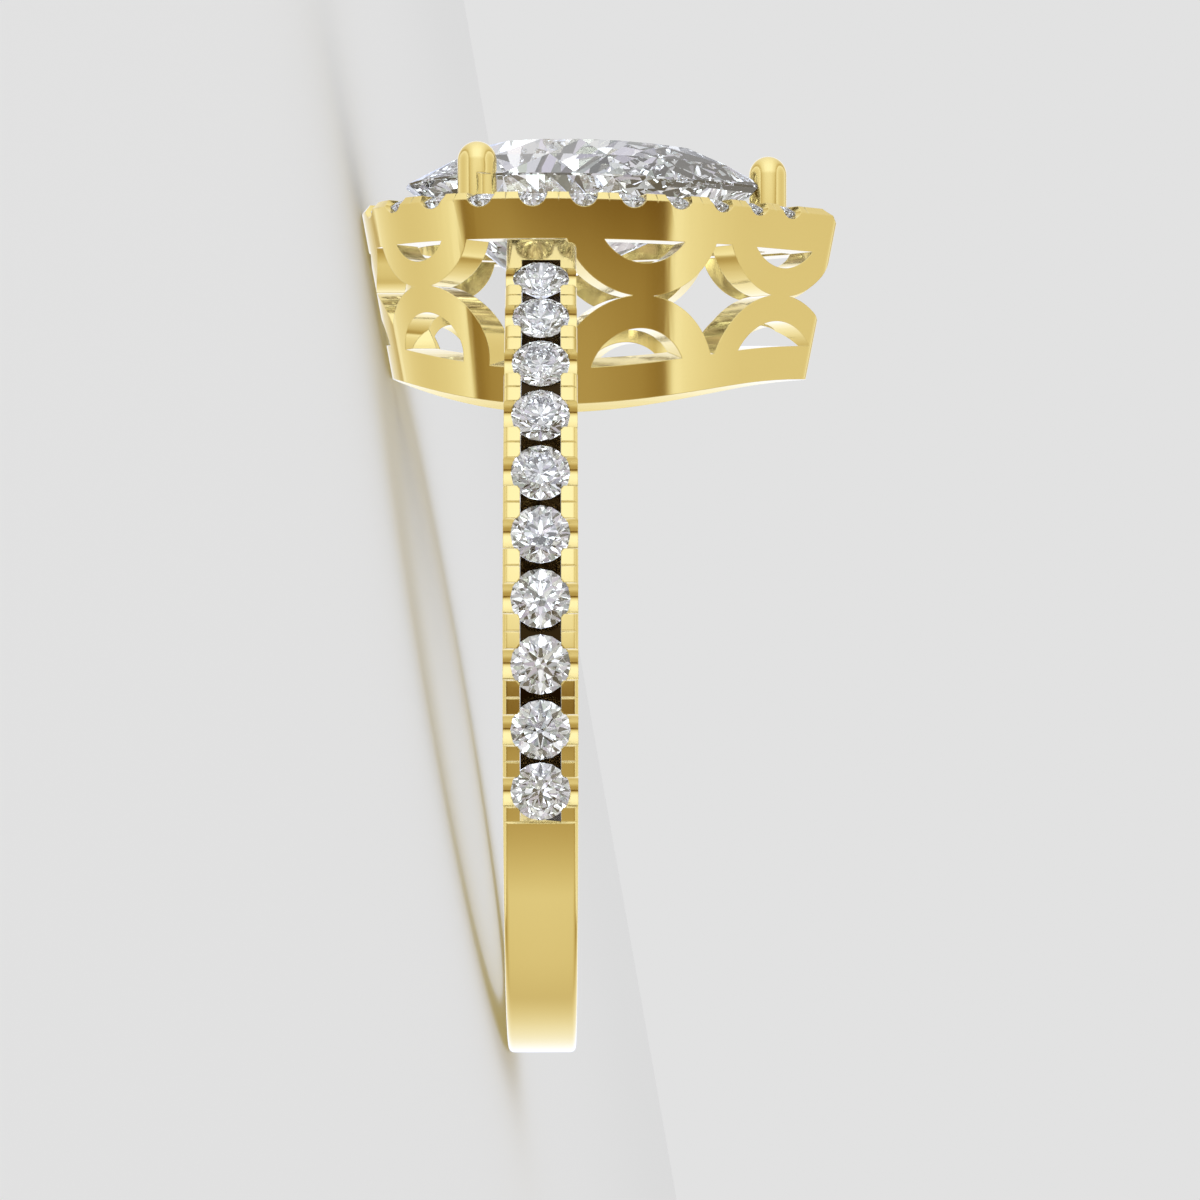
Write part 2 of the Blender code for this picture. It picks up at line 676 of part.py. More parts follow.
def main():
    """Build the ring's pieces upright, then lay them on their side."""
    clear_scene()
    model = new_collection("pear_halo_ring")
    cutters = new_collection("cutters")
    gold = new_material(*GOLD)
    diamond = new_material(*DIAMOND)
    pieces = [make_ring_metal(model, cutters, gold)]
    pieces.append(pear_stone("centre_stone", 0.0, model, diamond))
    for number, (centre, outward) in enumerate(halo_stone_frames(), 1):
        stone = round_stone(f"halo_stone_{number:02d}", HALO_STONE_DIAMETER, model, diamond)
        turn = Matrix.Rotation(math.atan2(outward.y, outward.x), 4, "Z")
        pieces.append(placed(stone, Matrix.Translation(centre) @ turn))
    for number, frame in enumerate(shank_stone_frames(), 1):
        stone = round_stone(f"shank_stone_{number:02d}", SHANK_STONE_DIAMETER, model, diamond)
        pieces.append(placed(stone, frame))
    stand = bpy.data.objects.new("stand", None)
    model.objects.link(stand)
    for piece in pieces:
        piece.parent = stand
        piece.data.shade_smooth()
        piece.data.set_sharp_from_angle(angle=SHARP_EDGE)
    lay_on_side(pieces, stand)


main()
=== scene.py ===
"""Looks of a pear halo ring in polished yellow gold, lying on its side on a pale floor.

Every piece is modelled in the ring's own upright frame, with the finger along X, the pear's tip
at +X and the head at +Z. RingPose then stands it where the frame holds the ring.
"""

from __future__ import annotations

import json
import logging
import math
from dataclasses import dataclass, field
from enum import Enum

import bmesh
import bpy
from mathutils import Euler, Matrix, Vector

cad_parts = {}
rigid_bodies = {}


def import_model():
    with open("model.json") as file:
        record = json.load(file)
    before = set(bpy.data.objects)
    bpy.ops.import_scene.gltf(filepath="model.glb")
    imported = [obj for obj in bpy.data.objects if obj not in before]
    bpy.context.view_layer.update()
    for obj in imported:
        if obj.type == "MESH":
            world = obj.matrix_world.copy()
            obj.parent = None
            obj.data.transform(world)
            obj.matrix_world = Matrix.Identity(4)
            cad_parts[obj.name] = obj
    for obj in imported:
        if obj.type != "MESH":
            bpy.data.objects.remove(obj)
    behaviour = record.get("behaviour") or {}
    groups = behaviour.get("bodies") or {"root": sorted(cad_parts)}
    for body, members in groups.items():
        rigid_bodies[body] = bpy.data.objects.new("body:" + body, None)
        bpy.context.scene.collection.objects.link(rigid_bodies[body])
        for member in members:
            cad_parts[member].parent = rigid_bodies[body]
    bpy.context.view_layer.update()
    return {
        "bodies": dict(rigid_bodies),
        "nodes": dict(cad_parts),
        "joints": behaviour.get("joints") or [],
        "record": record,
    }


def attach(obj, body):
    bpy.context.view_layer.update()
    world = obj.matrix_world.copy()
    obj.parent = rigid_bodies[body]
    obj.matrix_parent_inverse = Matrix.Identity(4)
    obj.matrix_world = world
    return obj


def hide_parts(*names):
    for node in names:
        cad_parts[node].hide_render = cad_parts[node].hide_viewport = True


LOG = logging.getLogger("halo_ring")
MM = 0.001
STONE_BOUNCES = 10
BODY = "root"
# Name of the face mark for painted shade: the channel faces where the gold is painted near-black in
# place of real shade.
PAINTED_SHADE_MARK = "painted_shade"
NOTCH_SIDES = 32
SEAT_SIDES = 40
SEAT_OPEN_ABOVE = 0.5
FINGER_BAR_LENGTH = 30 * MM
FINGER_BAR_SIDES = 192
SHARP_ANGLE = math.radians(17)

Stops = tuple[tuple[float, float], ...]
Colour = tuple[float, float, float, float]
Socket = bpy.types.NodeSocket
Source = Socket | Colour | Euler | float | str


class Cut(Enum):
    """How a Boolean combines two solids."""

    TAKE_AWAY = "DIFFERENCE"
    JOIN = "UNION"


class Slot(Enum):
    """Material slots of the record."""

    GOLD = "gold"
    CENTRE_GEM = "centre_gem"
    SMALL_GEMS = "small_gems"


@dataclass(frozen=True)
class PolishedGold:
    """Polished yellow gold with the finest of hairlines, softly rounded edges and painted shade
    deep in the shank's channels.
    """

    name: str = "polished_yellow_gold"
    colour: Colour = (0.90, 0.71, 0.265, 1.0)
    worn_colour: Colour = (0.86, 0.67, 0.235, 1.0)
    # Near-black painted shade for the faces deep in the channels, standing in for the shade that
    # falls there.
    painted_shade_colour: Colour = (0.035, 0.02, 0.006, 1.0)
    roughness: float = 0.1
    edge_radius: float = 0.035 * MM
    polish_range: tuple[float, float] = (0.7, 1.4)
    cloud_scale: float = 260.0
    cloud_detail: float = 3.0
    ripple_strength: float = 0.02
    ripple_depth: float = 0.018 * MM

    def material(self) -> bpy.types.Material:
        """Build the material.

        Returns:
            The gold, with slow colour clouds, a faint ripple, rounded edges and near-black painted
            shade on the faces marked deep in the channels.
        """
        material, graph, shader = new_material(self.name)
        place = graph.node("ShaderNodeTexCoord").outputs["Object"]
        cloudy = {"Vector": place, "Scale": self.cloud_scale, "Detail": self.cloud_detail}
        clouds = graph.node("ShaderNodeTexNoise", cloudy).outputs["Fac"]
        # The mark of the channel faces that get painted shade.
        painted_shade = graph.node("ShaderNodeAttribute", attribute_name=PAINTED_SHADE_MARK).outputs["Fac"]
        tint = graph.mix(clouds, self.worn_colour, self.colour)
        least, most = (self.roughness * share for share in self.polish_range)
        spread = {"Value": clouds, "To Min": least, "To Max": most}
        polish = graph.node("ShaderNodeMapRange", spread)
        edges = graph.node("ShaderNodeBevel", {"Radius": self.edge_radius}, samples=4)
        ripple = graph.node("ShaderNodeBump", {
            "Strength": self.ripple_strength,
            "Distance": self.ripple_depth,
            "Height": clouds,
            "Normal": edges.outputs["Normal"],
        })
        graph.fill(shader, {
            # Mix the near-black painted shade onto the marked channel faces.
            "Base Color": graph.mix(painted_shade, tint, self.painted_shade_colour),
            "Metallic": 1.0,
            "Roughness": polish.outputs["Result"],
            "Normal": ripple.outputs["Normal"],
        })
        return material


@dataclass(frozen=True)
class ClearStone:
    """A clear cut stone with a strong refraction."""

    name: str
    refraction: float = 2.42
    roughness: float = 0.0
    haze_scale: float = 900.0
    tint: Colour = (0.995, 0.995, 0.99, 1.0)
    glint: Colour = (1.0, 0.9, 0.72, 1.0)

    def material(self) -> bpy.types.Material:
        """Build the stone's see-through finish."""
        material, graph, shader = new_material(self.name)
        place = graph.node("ShaderNodeTexCoord").outputs["Object"]
        haze = graph.node("ShaderNodeTexNoise", {"Vector": place, "Scale": self.haze_scale})
        graph.fill(shader, {
            "Base Color": graph.mix(haze.outputs["Fac"], self.tint, grey(1.0)),
            "Roughness": self.roughness,
            "IOR": self.refraction,
            "Transmission Weight": 1.0,
            "Specular Tint": self.glint,
        })
        return material


@dataclass(frozen=True)
class PaleFloor:
    """The plain pale studio floor."""

    name: str = "pale_floor"
    colour: Colour = (0.89, 0.89, 0.89, 1.0)
    roughness: float = 0.55

    def material(self) -> bpy.types.Material:
        """Build the floor's plain material."""
        material, graph, shader = new_material(self.name)
        graph.fill(shader, {
            "Base Color": self.colour, "Roughness": self.roughness, "Specular IOR Level": 0.0
        })
        return material


def grey(level: float) -> Colour:
    """A neutral colour."""
    return (level, level, level, 1.0)


class Graph:
    """Short ways to add nodes to one tree."""

    def __init__(self, tree: bpy.types.NodeTree) -> None:
        """Keep the tree."""
        self.tree = tree

    def fill(self, node: bpy.types.Node, inputs: dict[str | int, Source]) -> None:
        """Feed a node.

        Args:
            node: The node.
            inputs: What goes in, by socket: another node's output or a plain value.
        """
        for key, value in inputs.items():
            if isinstance(value, Socket):
                self.tree.links.new(value, node.inputs[key])
            else:
                node.inputs[key].default_value = value

    def node(
        self, kind: str, inputs: dict[str | int, Source] | None = None, **settings: str | int
    ) -> bpy.types.Node:
        """Add a node.

        Args:
            kind: The node's type.
            inputs: What goes into its sockets.
            settings: The node's own settings.

        Returns:
            The node.
        """
        node = self.tree.nodes.new(kind)
        for name, value in settings.items():
            setattr(node, name, value)
        self.fill(node, inputs or {})
        return node

    def math(self, kind: str, *values: Source) -> Socket:
        """One Math node, fed by sockets or plain numbers."""
        return self.node("ShaderNodeMath", dict(enumerate(values)), operation=kind).outputs["Value"]

    def mix(self, factor: Source, first: Source, second: Source, blend: str = "MIX") -> Socket:
        """One colour Mix node.

        Args:
            factor: 0 for the first colour and 1 for the second.
            first: A colour or its socket.
            second: A colour or its socket.
            blend: How the second goes over the first.

        Returns:
            The mixed colour's socket.
        """
        ends = {"Factor": factor, "A": first, "B": second}
        node = self.node("ShaderNodeMix", data_type="RGBA", blend_type=blend)
        self.fill(node, ends)
        return node.outputs["Result"]

    def curve(self, source: Socket, stops: Stops) -> Socket:
        """A table of values against place, joined by straight lines.

        Args:
            source: The place, from 0 to 1.
            stops: Places and their values.

        Returns:
            The value's socket.
        """
        node = self.node("ShaderNodeFloatCurve", {"Value": source})
        curve = node.mapping.curves[0]
        node.mapping.use_clip = False
        while len(curve.points) < len(stops):
            curve.points.new(0.5, 0.5)
        for point, stop in zip(curve.points, stops):
            point.location = stop
            point.handle_type = "VECTOR"
        node.mapping.update()
        return node.outputs["Value"]


def new_material(name: str) -> tuple[bpy.types.Material, Graph, bpy.types.ShaderNode]:
    """Make a material with a Principled shader.

    Args:
        name: The material's name.

    Returns:
        The material, its graph and its shader node.
    """
    material = bpy.data.materials.new(name)
    material.use_nodes = True
    tree = material.node_tree
    return material, Graph(tree), tree.nodes["Principled BSDF"]


@dataclass(frozen=True)
class Pear:
    """A pear outline: an elliptic round end, two flank arcs, two straights and a round tip."""

    round_end: float
    tip: float
    half_width: float
    tip_radius: float = 0.5 * MM
    half_angle: float = math.radians(40)
    widest_share: float = 0.37
    tip_pull: float = 0.92
    tip_tightening: float = 0.3
    least_tip_radius: float = 0.15 * MM

    def inset(self, distance: float) -> Pear:
        """The outline moved inwards, or outwards by a distance below zero."""
        return Pear(
            self.round_end + distance,
            self.tip - distance / math.sin(self.half_angle) * self.tip_pull,
            self.half_width - distance,
            max(self.tip_radius - self.tip_tightening * distance, self.least_tip_radius),
        )

    def mixed(self, other: Pear, share: float) -> Pear:
        """The pear at a share of the way to another one."""
        pairs = (
            (self.round_end, other.round_end),
            (self.tip, other.tip),
            (self.half_width, other.half_width),
            (self.tip_radius, other.tip_radius),
        )
        return Pear(*[a + (b - a) * share for a, b in pairs])

    def half(self, steps: tuple[int, int, int]) -> list[Vector]:
        """Points of the half at +Y, from the round end to the tip.

        Args:
            steps: Counts for the round end, the flank and the tip.

        Returns:
            The points in order.
        """
        end_steps, flank_steps, tip_steps = steps
        widest = self.round_end + self.widest_share * (self.tip - self.round_end)
        sine = math.sin(self.half_angle)
        cosine = math.cos(self.half_angle)
        tip_centre = self.tip - self.tip_radius
        apex = tip_centre + self.tip_radius / sine
        slope = sine / cosine
        flank = ((apex - widest) * slope - self.half_width) / (sine * slope - (1 - cosine))
        points = []
        for step in range(end_steps):
            angle = math.pi / 2 * step / end_steps
            x = widest - (widest - self.round_end) * math.cos(angle)
            points.append(Vector((x, self.half_width * math.sin(angle))))
        for step in range(flank_steps + 1):
            angle = self.half_angle * step / flank_steps
            y = self.half_width - flank * (1 - math.cos(angle))
            points.append(Vector((widest + flank * math.sin(angle), y)))
        for step in range(tip_steps + 1):
            angle = self.half_angle + (math.pi / 2 - self.half_angle) * step / tip_steps
            x = tip_centre + self.tip_radius * math.sin(angle)
            points.append(Vector((x, self.tip_radius * math.cos(angle))))
        return points

    def outline(self, steps: tuple[int, int, int]) -> list[Vector]:
        """Points all the way round, anticlockwise, ending at the round end's middle.

        Args:
            steps: Counts for the round end, the flank and the tip of one half.

        Returns:
            The points in order.
        """
        upper = self.half(steps)
        lower = [Vector((point.x, -point.y)) for point in upper[1:-1]]
        return lower + [upper[-1]] + upper[1:-1][::-1] + [upper[0]]


@dataclass(frozen=True)
class RingPose:
    """Where the upright ring frame stands in the part's frame."""

    matrix: Matrix

    @classmethod
    def from_record(cls, record: dict, face_point: Vector) -> RingPose:
        """Read the pose from the flat side of the shank.

        Args:
            record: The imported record, which states that side as a mount.
            face_point: The mount's point in the upright frame.

        Returns:
            The pose.
        """
        mount = next(m for m in record["mounts"] if m["name"] == "band_side_upper")
        finger = Vector(mount["axis"]).normalized()
        across = Vector((0.0, 1.0, 0.0))
        up = finger.cross(across)
        turn = Matrix((finger, across, up)).transposed().to_4x4()
        place = Vector(mount["pos_m"]) - turn.to_3x3() @ face_point
        return cls(Matrix.Translation(place) @ turn)


class Shop:
    """Bench tools: closed solids, cuts and joins, all with their place in the mesh."""

    @staticmethod
    def piece(name: str, mesh: bpy.types.Mesh) -> bpy.types.Object:
        """Put a mesh in the scene as an object."""
        thing = bpy.data.objects.new(name, mesh)
        bpy.context.scene.collection.objects.link(thing)
        return thing

    @staticmethod
    def solid(name: str, bm: bmesh.types.BMesh) -> bpy.types.Object:
        """Turn a bmesh, which is freed, into an object whose faces point out."""
        bmesh.ops.recalc_face_normals(bm, faces=bm.faces)
        mesh = bpy.data.meshes.new(name)
        bm.to_mesh(mesh)
        bm.free()
        return Shop.piece(name, mesh)

    @staticmethod
    def bake(thing: bpy.types.Object) -> bpy.types.Object:
        """Keep an object's evaluated mesh and drop its modifiers."""
        graph = bpy.context.evaluated_depsgraph_get()
        mesh = bpy.data.meshes.new_from_object(thing.evaluated_get(graph))
        thing.modifiers.clear()
        thing.data = mesh
        return thing

    @staticmethod
    def combine(
        target: bpy.types.Object, tool: bpy.types.Object, how: Cut = Cut.TAKE_AWAY
    ) -> bpy.types.Object:
        """Cut or join with a Boolean and remove the tool.

        Args:
            target: The solid that is kept.
            tool: The solid that is used up.
            how: Take away or join.

        Returns:
            The target.
        """
        modifier = target.modifiers.new(how.name.lower(), "BOOLEAN")
        modifier.operation = how.value
        modifier.solver = "MANIFOLD"
        modifier.object = tool
        Shop.bake(target)
        bpy.data.objects.remove(tool)
        return target

    @staticmethod
    def loft(name: str, sections: list[tuple[list[Vector], float]]) -> bpy.types.Object:
        """A closed solid through level outlines with equal counts of points.

        Args:
            name: The object's name.
            sections: Outlines with their heights.

        Returns:
            The solid.
        """
        bm = bmesh.new()
        rings = [[bm.verts.new((p.x, p.y, height)) for p in line] for line, height in sections]
        count = len(rings[0])
        for below, above in zip(rings, rings[1:]):
            for i in range(count):
                j = (i + 1) % count
                bm.faces.new((below[i], below[j], above[j], above[i]))
        bm.faces.new(rings[0])
        bm.faces.new(rings[-1])
        return Shop.solid(name, bm)

    @staticmethod
    def plate(name: str, outline: list[Vector], half_thickness: float) -> bpy.types.Object:
        """A flat outline in the YZ plane, extruded both ways along X.

        Args:
            name: The object's name.
            outline: Points as (y, z).
            half_thickness: Half the plate's thickness.

        Returns:
            The solid.
        """
        curve = bpy.data.curves.new(name, "CURVE")
        curve.dimensions = "2D"
        curve.fill_mode = "BOTH"
        curve.extrude = half_thickness
        spline = curve.splines.new("POLY")
        spline.points.add(len(outline) - 1)
        for point, corner in zip(spline.points, outline):
            point.co = (corner.x, corner.y, 0.0, 1.0)
        spline.use_cyclic_u = True
        guide = Shop.piece(name, curve)
        graph = bpy.context.evaluated_depsgraph_get()
        flat = bpy.data.meshes.new_from_object(guide.evaluated_get(graph))
        bpy.data.objects.remove(guide)
        bm = bmesh.new()
        bm.from_mesh(flat)
        bmesh.ops.remove_doubles(bm, verts=bm.verts, dist=0.001 * MM)
        upright = Matrix(((0, 0, 1, 0), (1, 0, 0, 0), (0, 1, 0, 0), (0, 0, 0, 1)))
        bmesh.ops.transform(bm, matrix=upright, verts=bm.verts)
        return Shop.solid(name, bm)

    @staticmethod
    def turned(
        name: str, profile: list[tuple[float, float]], steps: int, closed: bool = False
    ) -> bpy.types.Object:
        """A profile turned about Z.

        Args:
            name: The object's name.
            profile: Points as (radius, height), running down the outer side.
            steps: Sides of the turned solid.
            closed: True for a ring, whose profile closes on itself.

        Returns:
            The solid.
        """
        bm = bmesh.new()
        verts = [bm.verts.new((radius, 0.0, height)) for radius, height in profile]
        for a, b in zip(verts, verts[1:]):
            bm.edges.new((a, b))
        if closed:
            bm.edges.new((verts[-1], verts[0]))
        mesh = bpy.data.meshes.new(name)
        bm.to_mesh(mesh)
        bm.free()
        thing = Shop.piece(name, mesh)
        screw = thing.modifiers.new("turn", "SCREW")
        screw.steps = steps
        screw.render_steps = steps
        screw.use_merge_vertices = True
        screw.merge_threshold = 0.0001 * MM
        return Shop.bake(thing)

    @staticmethod
    def bar(name: str, radius: float, length: float, steps: int) -> bpy.types.Object:
        """A round bar along Z, centred on the origin."""
        bm = bmesh.new()
        bmesh.ops.create_cone(
            bm, cap_ends=True, segments=steps, radius1=radius, radius2=radius, depth=length
        )
        return Shop.solid(name, bm)

    @staticmethod
    def wedge(name: str, half_width: float, depth: float, length: float) -> bpy.types.Object:
        """A V-shaped graver cut along Y, its point at -depth.

        Args:
            name: The object's name.
            half_width: Half the cut's width at the surface.
            depth: How deep the point goes.
            length: The cut's length.

        Returns:
            The solid.
        """
        spread = half_width * 4
        corners = ((0.0, -depth), (spread, 3 * depth), (-spread, 3 * depth))
        bm = bmesh.new()
        ends = [
            [bm.verts.new((x, side * length / 2, z)) for x, z in corners] for side in (-1, 1)
        ]
        bm.faces.new(ends[0])
        bm.faces.new(ends[1])
        for i in range(3):
            j = (i + 1) % 3
            bm.faces.new((ends[0][i], ends[0][j], ends[1][j], ends[1][i]))
        return Shop.solid(name, bm)

    @staticmethod
    def moved(thing: bpy.types.Object, matrix: Matrix) -> bpy.types.Object:
        """Move an object's mesh, so that the object stays at the origin."""
        thing.data.transform(matrix)
        return thing


def stand(origin: Vector, axis: Vector) -> Matrix:
    """A matrix that moves the local origin and stands local Z on an axis."""
    return Matrix.Translation(origin) @ axis.to_track_quat("Z", "Y").to_matrix().to_4x4()


@dataclass
class Shank:
    """The band on the finger: plain below, with a row of stones on each shoulder."""

    finger_radius: float = 8.65 * MM
    half_width: float = 0.92 * MM
    bottom_radius: float = 10.2 * MM
    side_radius: float = 10.65 * MM
    shoulder_radius: float = 13.2 * MM
    shoulder_start: float = 0.8 * MM
    shoulder_end: float = 3.15 * MM
    rough_bore: float = 7.6 * MM
    edge_round: float = 0.15 * MM
    edge_steps: int = 6
    stones_per_side: int = 10
    stone_diameter: float = 1.457 * MM
    stone_pitch: float = 1.604 * MM
    first_stone: float = 3.08 * MM
    girdle_below_rail: float = 0.1 * MM
    channel_half_width: float = 0.5 * MM
    channel_depth: float = 1.1 * MM
    channel_past_stones: float = 0.78 * MM
    notch_radius: float = 0.385 * MM
    channel_foot: float = -4.9 * MM
    channel_top: float = 11.4 * MM
    cut_length: float = 3 * MM
    # Depth under the outer line where the channel's painted shade begins.
    painted_shade_below: float = 0.25 * MM
    bore_margin: float = 0.1 * MM
    groove_half_width: float = 0.022 * MM
    groove_depth: float = 0.07 * MM
    seat_gap: float = 0.02 * MM
    bore_steps: int = 48
    lower_steps: int = 72
    shoulder_steps: int = 60

    def on_lower_half(self, angle: float) -> tuple[Vector, Vector]:
        """Place and way out on the elliptic lower half, by angle below the side."""
        y = self.side_radius * math.cos(angle)
        z = -self.bottom_radius * math.sin(angle)
        out = Vector((y / self.side_radius**2, z / self.bottom_radius**2)).normalized()
        return Vector((y, z)), out

    @property
    def arc_length(self) -> float:
        """Length of the shoulder's arc, from the head to the band's side."""
        centre = self.side_radius - self.shoulder_radius
        return math.acos((self.shoulder_end - centre) / self.shoulder_radius) * self.shoulder_radius

    def along(self, length: float) -> tuple[Vector, Vector]:
        """Place and way out as (y, z) on the outer line at +Y.

        Args:
            length: Length below the shoulder's end at the head.

        Returns:
            The place and the way out.
        """
        if length <= self.arc_length:
            angle = (self.arc_length - length) / self.shoulder_radius
            out = Vector((math.cos(angle), math.sin(angle)))
            centre = Vector((self.side_radius - self.shoulder_radius, self.shoulder_start))
            return centre + out * self.shoulder_radius, out
        below = length - self.arc_length
        if below <= self.shoulder_start:
            return Vector((self.side_radius, self.shoulder_start - below)), Vector((1.0, 0.0))
        return self.on_lower_half((below - self.shoulder_start) / self.side_radius)

    def stone_lengths(self) -> list[float]:
        """Lengths of one shoulder's stones below its end."""
        return [self.first_stone + i * self.stone_pitch for i in range(self.stones_per_side)]

    def frame_at(self, length: float, sign: int, sink: float) -> Matrix:
        """A matrix on the outer line with local Z out and local X along the finger.

        Args:
            length: Length below the shoulder's end.
            sign: Which shoulder, by the sign of Y.
            sink: How far below the outer line.

        Returns:
            The matrix.
        """
        place, out = self.along(length)
        way_out = Vector((0.0, sign * out.x, out.y))
        middle = Vector((0.0, sign * place.x, place.y)) - way_out * sink
        finger = Vector((1.0, 0.0, 0.0))
        turn = Matrix((finger, way_out.cross(finger), way_out)).transposed().to_4x4()
        return Matrix.Translation(middle) @ turn

    def stone_frames(self) -> list[Matrix]:
        """Where the stones stand, on the shoulder at -Y and then on the other."""
        return [
            self.frame_at(length, sign, self.girdle_below_rail)
            for sign in (-1, 1)
            for length in self.stone_lengths()
        ]

    def blank(self) -> bpy.types.Object:
        """The band before any cut, with rounded outer edges."""
        side = [
            self.along(self.arc_length * i / self.shoulder_steps)[0]
            for i in range(self.shoulder_steps + 1)
        ]
        side += [
            self.on_lower_half(math.pi / 2 * i / self.lower_steps)[0]
            for i in range(self.lower_steps + 1)
        ]
        far = [Vector((-point.x, point.y)) for point in side[-2::-1]]
        gap = math.asin(self.shoulder_end / self.rough_bore)
        bore = []
        for i in range(self.bore_steps + 1):
            angle = -gap - (2 * math.pi - 2 * gap) * i / self.bore_steps
            bore.append(Vector((math.sin(angle), math.cos(angle))) * self.rough_bore)
        band = Shop.plate("shank", side + far + bore, self.half_width)
        bm = bmesh.new()
        bm.from_mesh(band.data)
        bmesh.ops.dissolve_limit(
            bm, angle_limit=math.radians(0.05), verts=bm.verts, edges=bm.edges
        )
        rims = [edge for edge in bm.edges if self.is_outer(edge)]
        bmesh.ops.bevel(
            bm,
            geom=rims,
            offset=self.edge_round,
            segments=self.edge_steps,
            profile=0.5,
            affect="EDGES",
        )
        bm.to_mesh(band.data)
        bm.free()
        return band

    def is_outer(self, edge: bmesh.types.BMEdge) -> bool:
        """True for an edge along the band's outer rim."""
        a, b = edge.verts
        same_side = abs(a.co.x - b.co.x) < 0.001 * MM
        outside = min(math.hypot(v.co.y, v.co.z) for v in (a, b)) > self.finger_radius
        upright = abs(a.co.y - b.co.y) < 0.0001 * MM and a.co.z > 0 and b.co.z > 0
        return same_side and outside and not upright

    def channel(self, sign: int) -> bpy.types.Object:
        """The slot under the stones of one shoulder."""
        lengths = self.stone_lengths()
        start = lengths[0] - self.channel_past_stones
        end = lengths[-1] + self.channel_past_stones
        above = []
        below = []
        for i in range(self.shoulder_steps + 1):
            place, out = self.along(start + (end - start) * i / self.shoulder_steps)
            high = place + out * self.channel_depth
            low = place - out * self.channel_depth
            above.append(Vector((sign * high.x, high.y)))
            below.append(Vector((sign * low.x, low.y)))
        return Shop.plate("channel", above + below[::-1], self.channel_half_width)

    def depth_of(self, point: Vector) -> float:
        """How far a point lies under the shoulder's outer line."""
        side = abs(point.y)
        if point.z > self.shoulder_start:
            centre = self.side_radius - self.shoulder_radius
            return self.shoulder_radius - math.hypot(side - centre, point.z - self.shoulder_start)
        if point.z > 0:
            return self.side_radius - side
        share = math.hypot(side / self.side_radius, point.z / self.bottom_radius)
        return self.side_radius * (1 - share)

    def mark_painted_shade(self, metal: bpy.types.Object) -> None:
        """Mark the faces deep in the channels for painted shade, which stands in for the shade that
        falls there.
        """
        values = []
        for face in metal.data.polygons:
            inside = abs(face.center.x) < self.channel_half_width * 1.01
            floor = self.channel_depth + self.girdle_below_rail
            around = math.hypot(face.center.y, face.center.z)
            outside_bore = around > self.finger_radius + self.bore_margin
            deep = self.painted_shade_below < self.depth_of(face.center) < floor
            beside = self.channel_foot < face.center.z < self.channel_top
            # Faces deep in the channel get painted shade, standing in for the shade that falls
            # there.
            values.append(1.0 if inside and deep and beside and outside_bore else 0.0)
        shade_marks = metal.data.attributes.new(PAINTED_SHADE_MARK, "FLOAT", "FACE")
        shade_marks.data.foreach_set("value", values)

    def cut_settings(self, metal: bpy.types.Object) -> None:
        """Cut channels, seats, cross notches and the fine grooves between them."""
        for sign in (-1, 1):
            Shop.combine(metal, self.channel(sign))
        for frame in self.stone_frames():
            hollow = stone_seat(self.stone_diameter, self.seat_gap)
            Shop.combine(metal, Shop.moved(hollow, frame))
            lift = Matrix.Translation((0.0, 0.0, self.girdle_below_rail))
            across = Matrix.Rotation(math.pi / 2, 4, "Y")
            notch = Shop.bar("notch", self.notch_radius, self.cut_length, NOTCH_SIDES)
            Shop.combine(metal, Shop.moved(notch, frame @ lift @ across))
        for sign in (-1, 1):
            for length in self.stone_lengths():
                frame = self.frame_at(length + self.stone_pitch / 2, sign, 0.0)
                size = (self.groove_half_width, self.groove_depth, self.cut_length)
                cut = Shop.wedge("groove", *size)
                quarter = Matrix.Rotation(math.pi / 2, 4, "Z")
                Shop.combine(metal, Shop.moved(cut, frame @ quarter))


def stone_seat(diameter: float, gap: float) -> bpy.types.Object:
    """The hollow for a round stone whose girdle is at the origin.

    Args:
        diameter: The stone's diameter.
        gap: Space left round the stone.

    Returns:
        The cutter.
    """
    radius = diameter / 2 + gap
    girdle = RoundBrilliant.girdle_share * diameter / 2 + gap
    foot = -girdle - RoundBrilliant.pavilion_share * diameter - gap
    table = RoundBrilliant.table_share * diameter / 2
    crown = girdle + RoundBrilliant.crown_share * diameter + gap
    top = crown + SEAT_OPEN_ABOVE * diameter
    profile = [(0.0, top), (table, top), (table, crown), (radius, girdle), (radius, -girdle)]
    return Shop.turned("seat", profile + [(0.0, foot)], SEAT_SIDES)


@dataclass(frozen=True)
class GalleryColumn:
    """Two rings of the gallery, as height, outer and inner radius, all in millimetres."""

    x: float | None
    upper: tuple[float, float, float]
    lower: tuple[float, float, float]


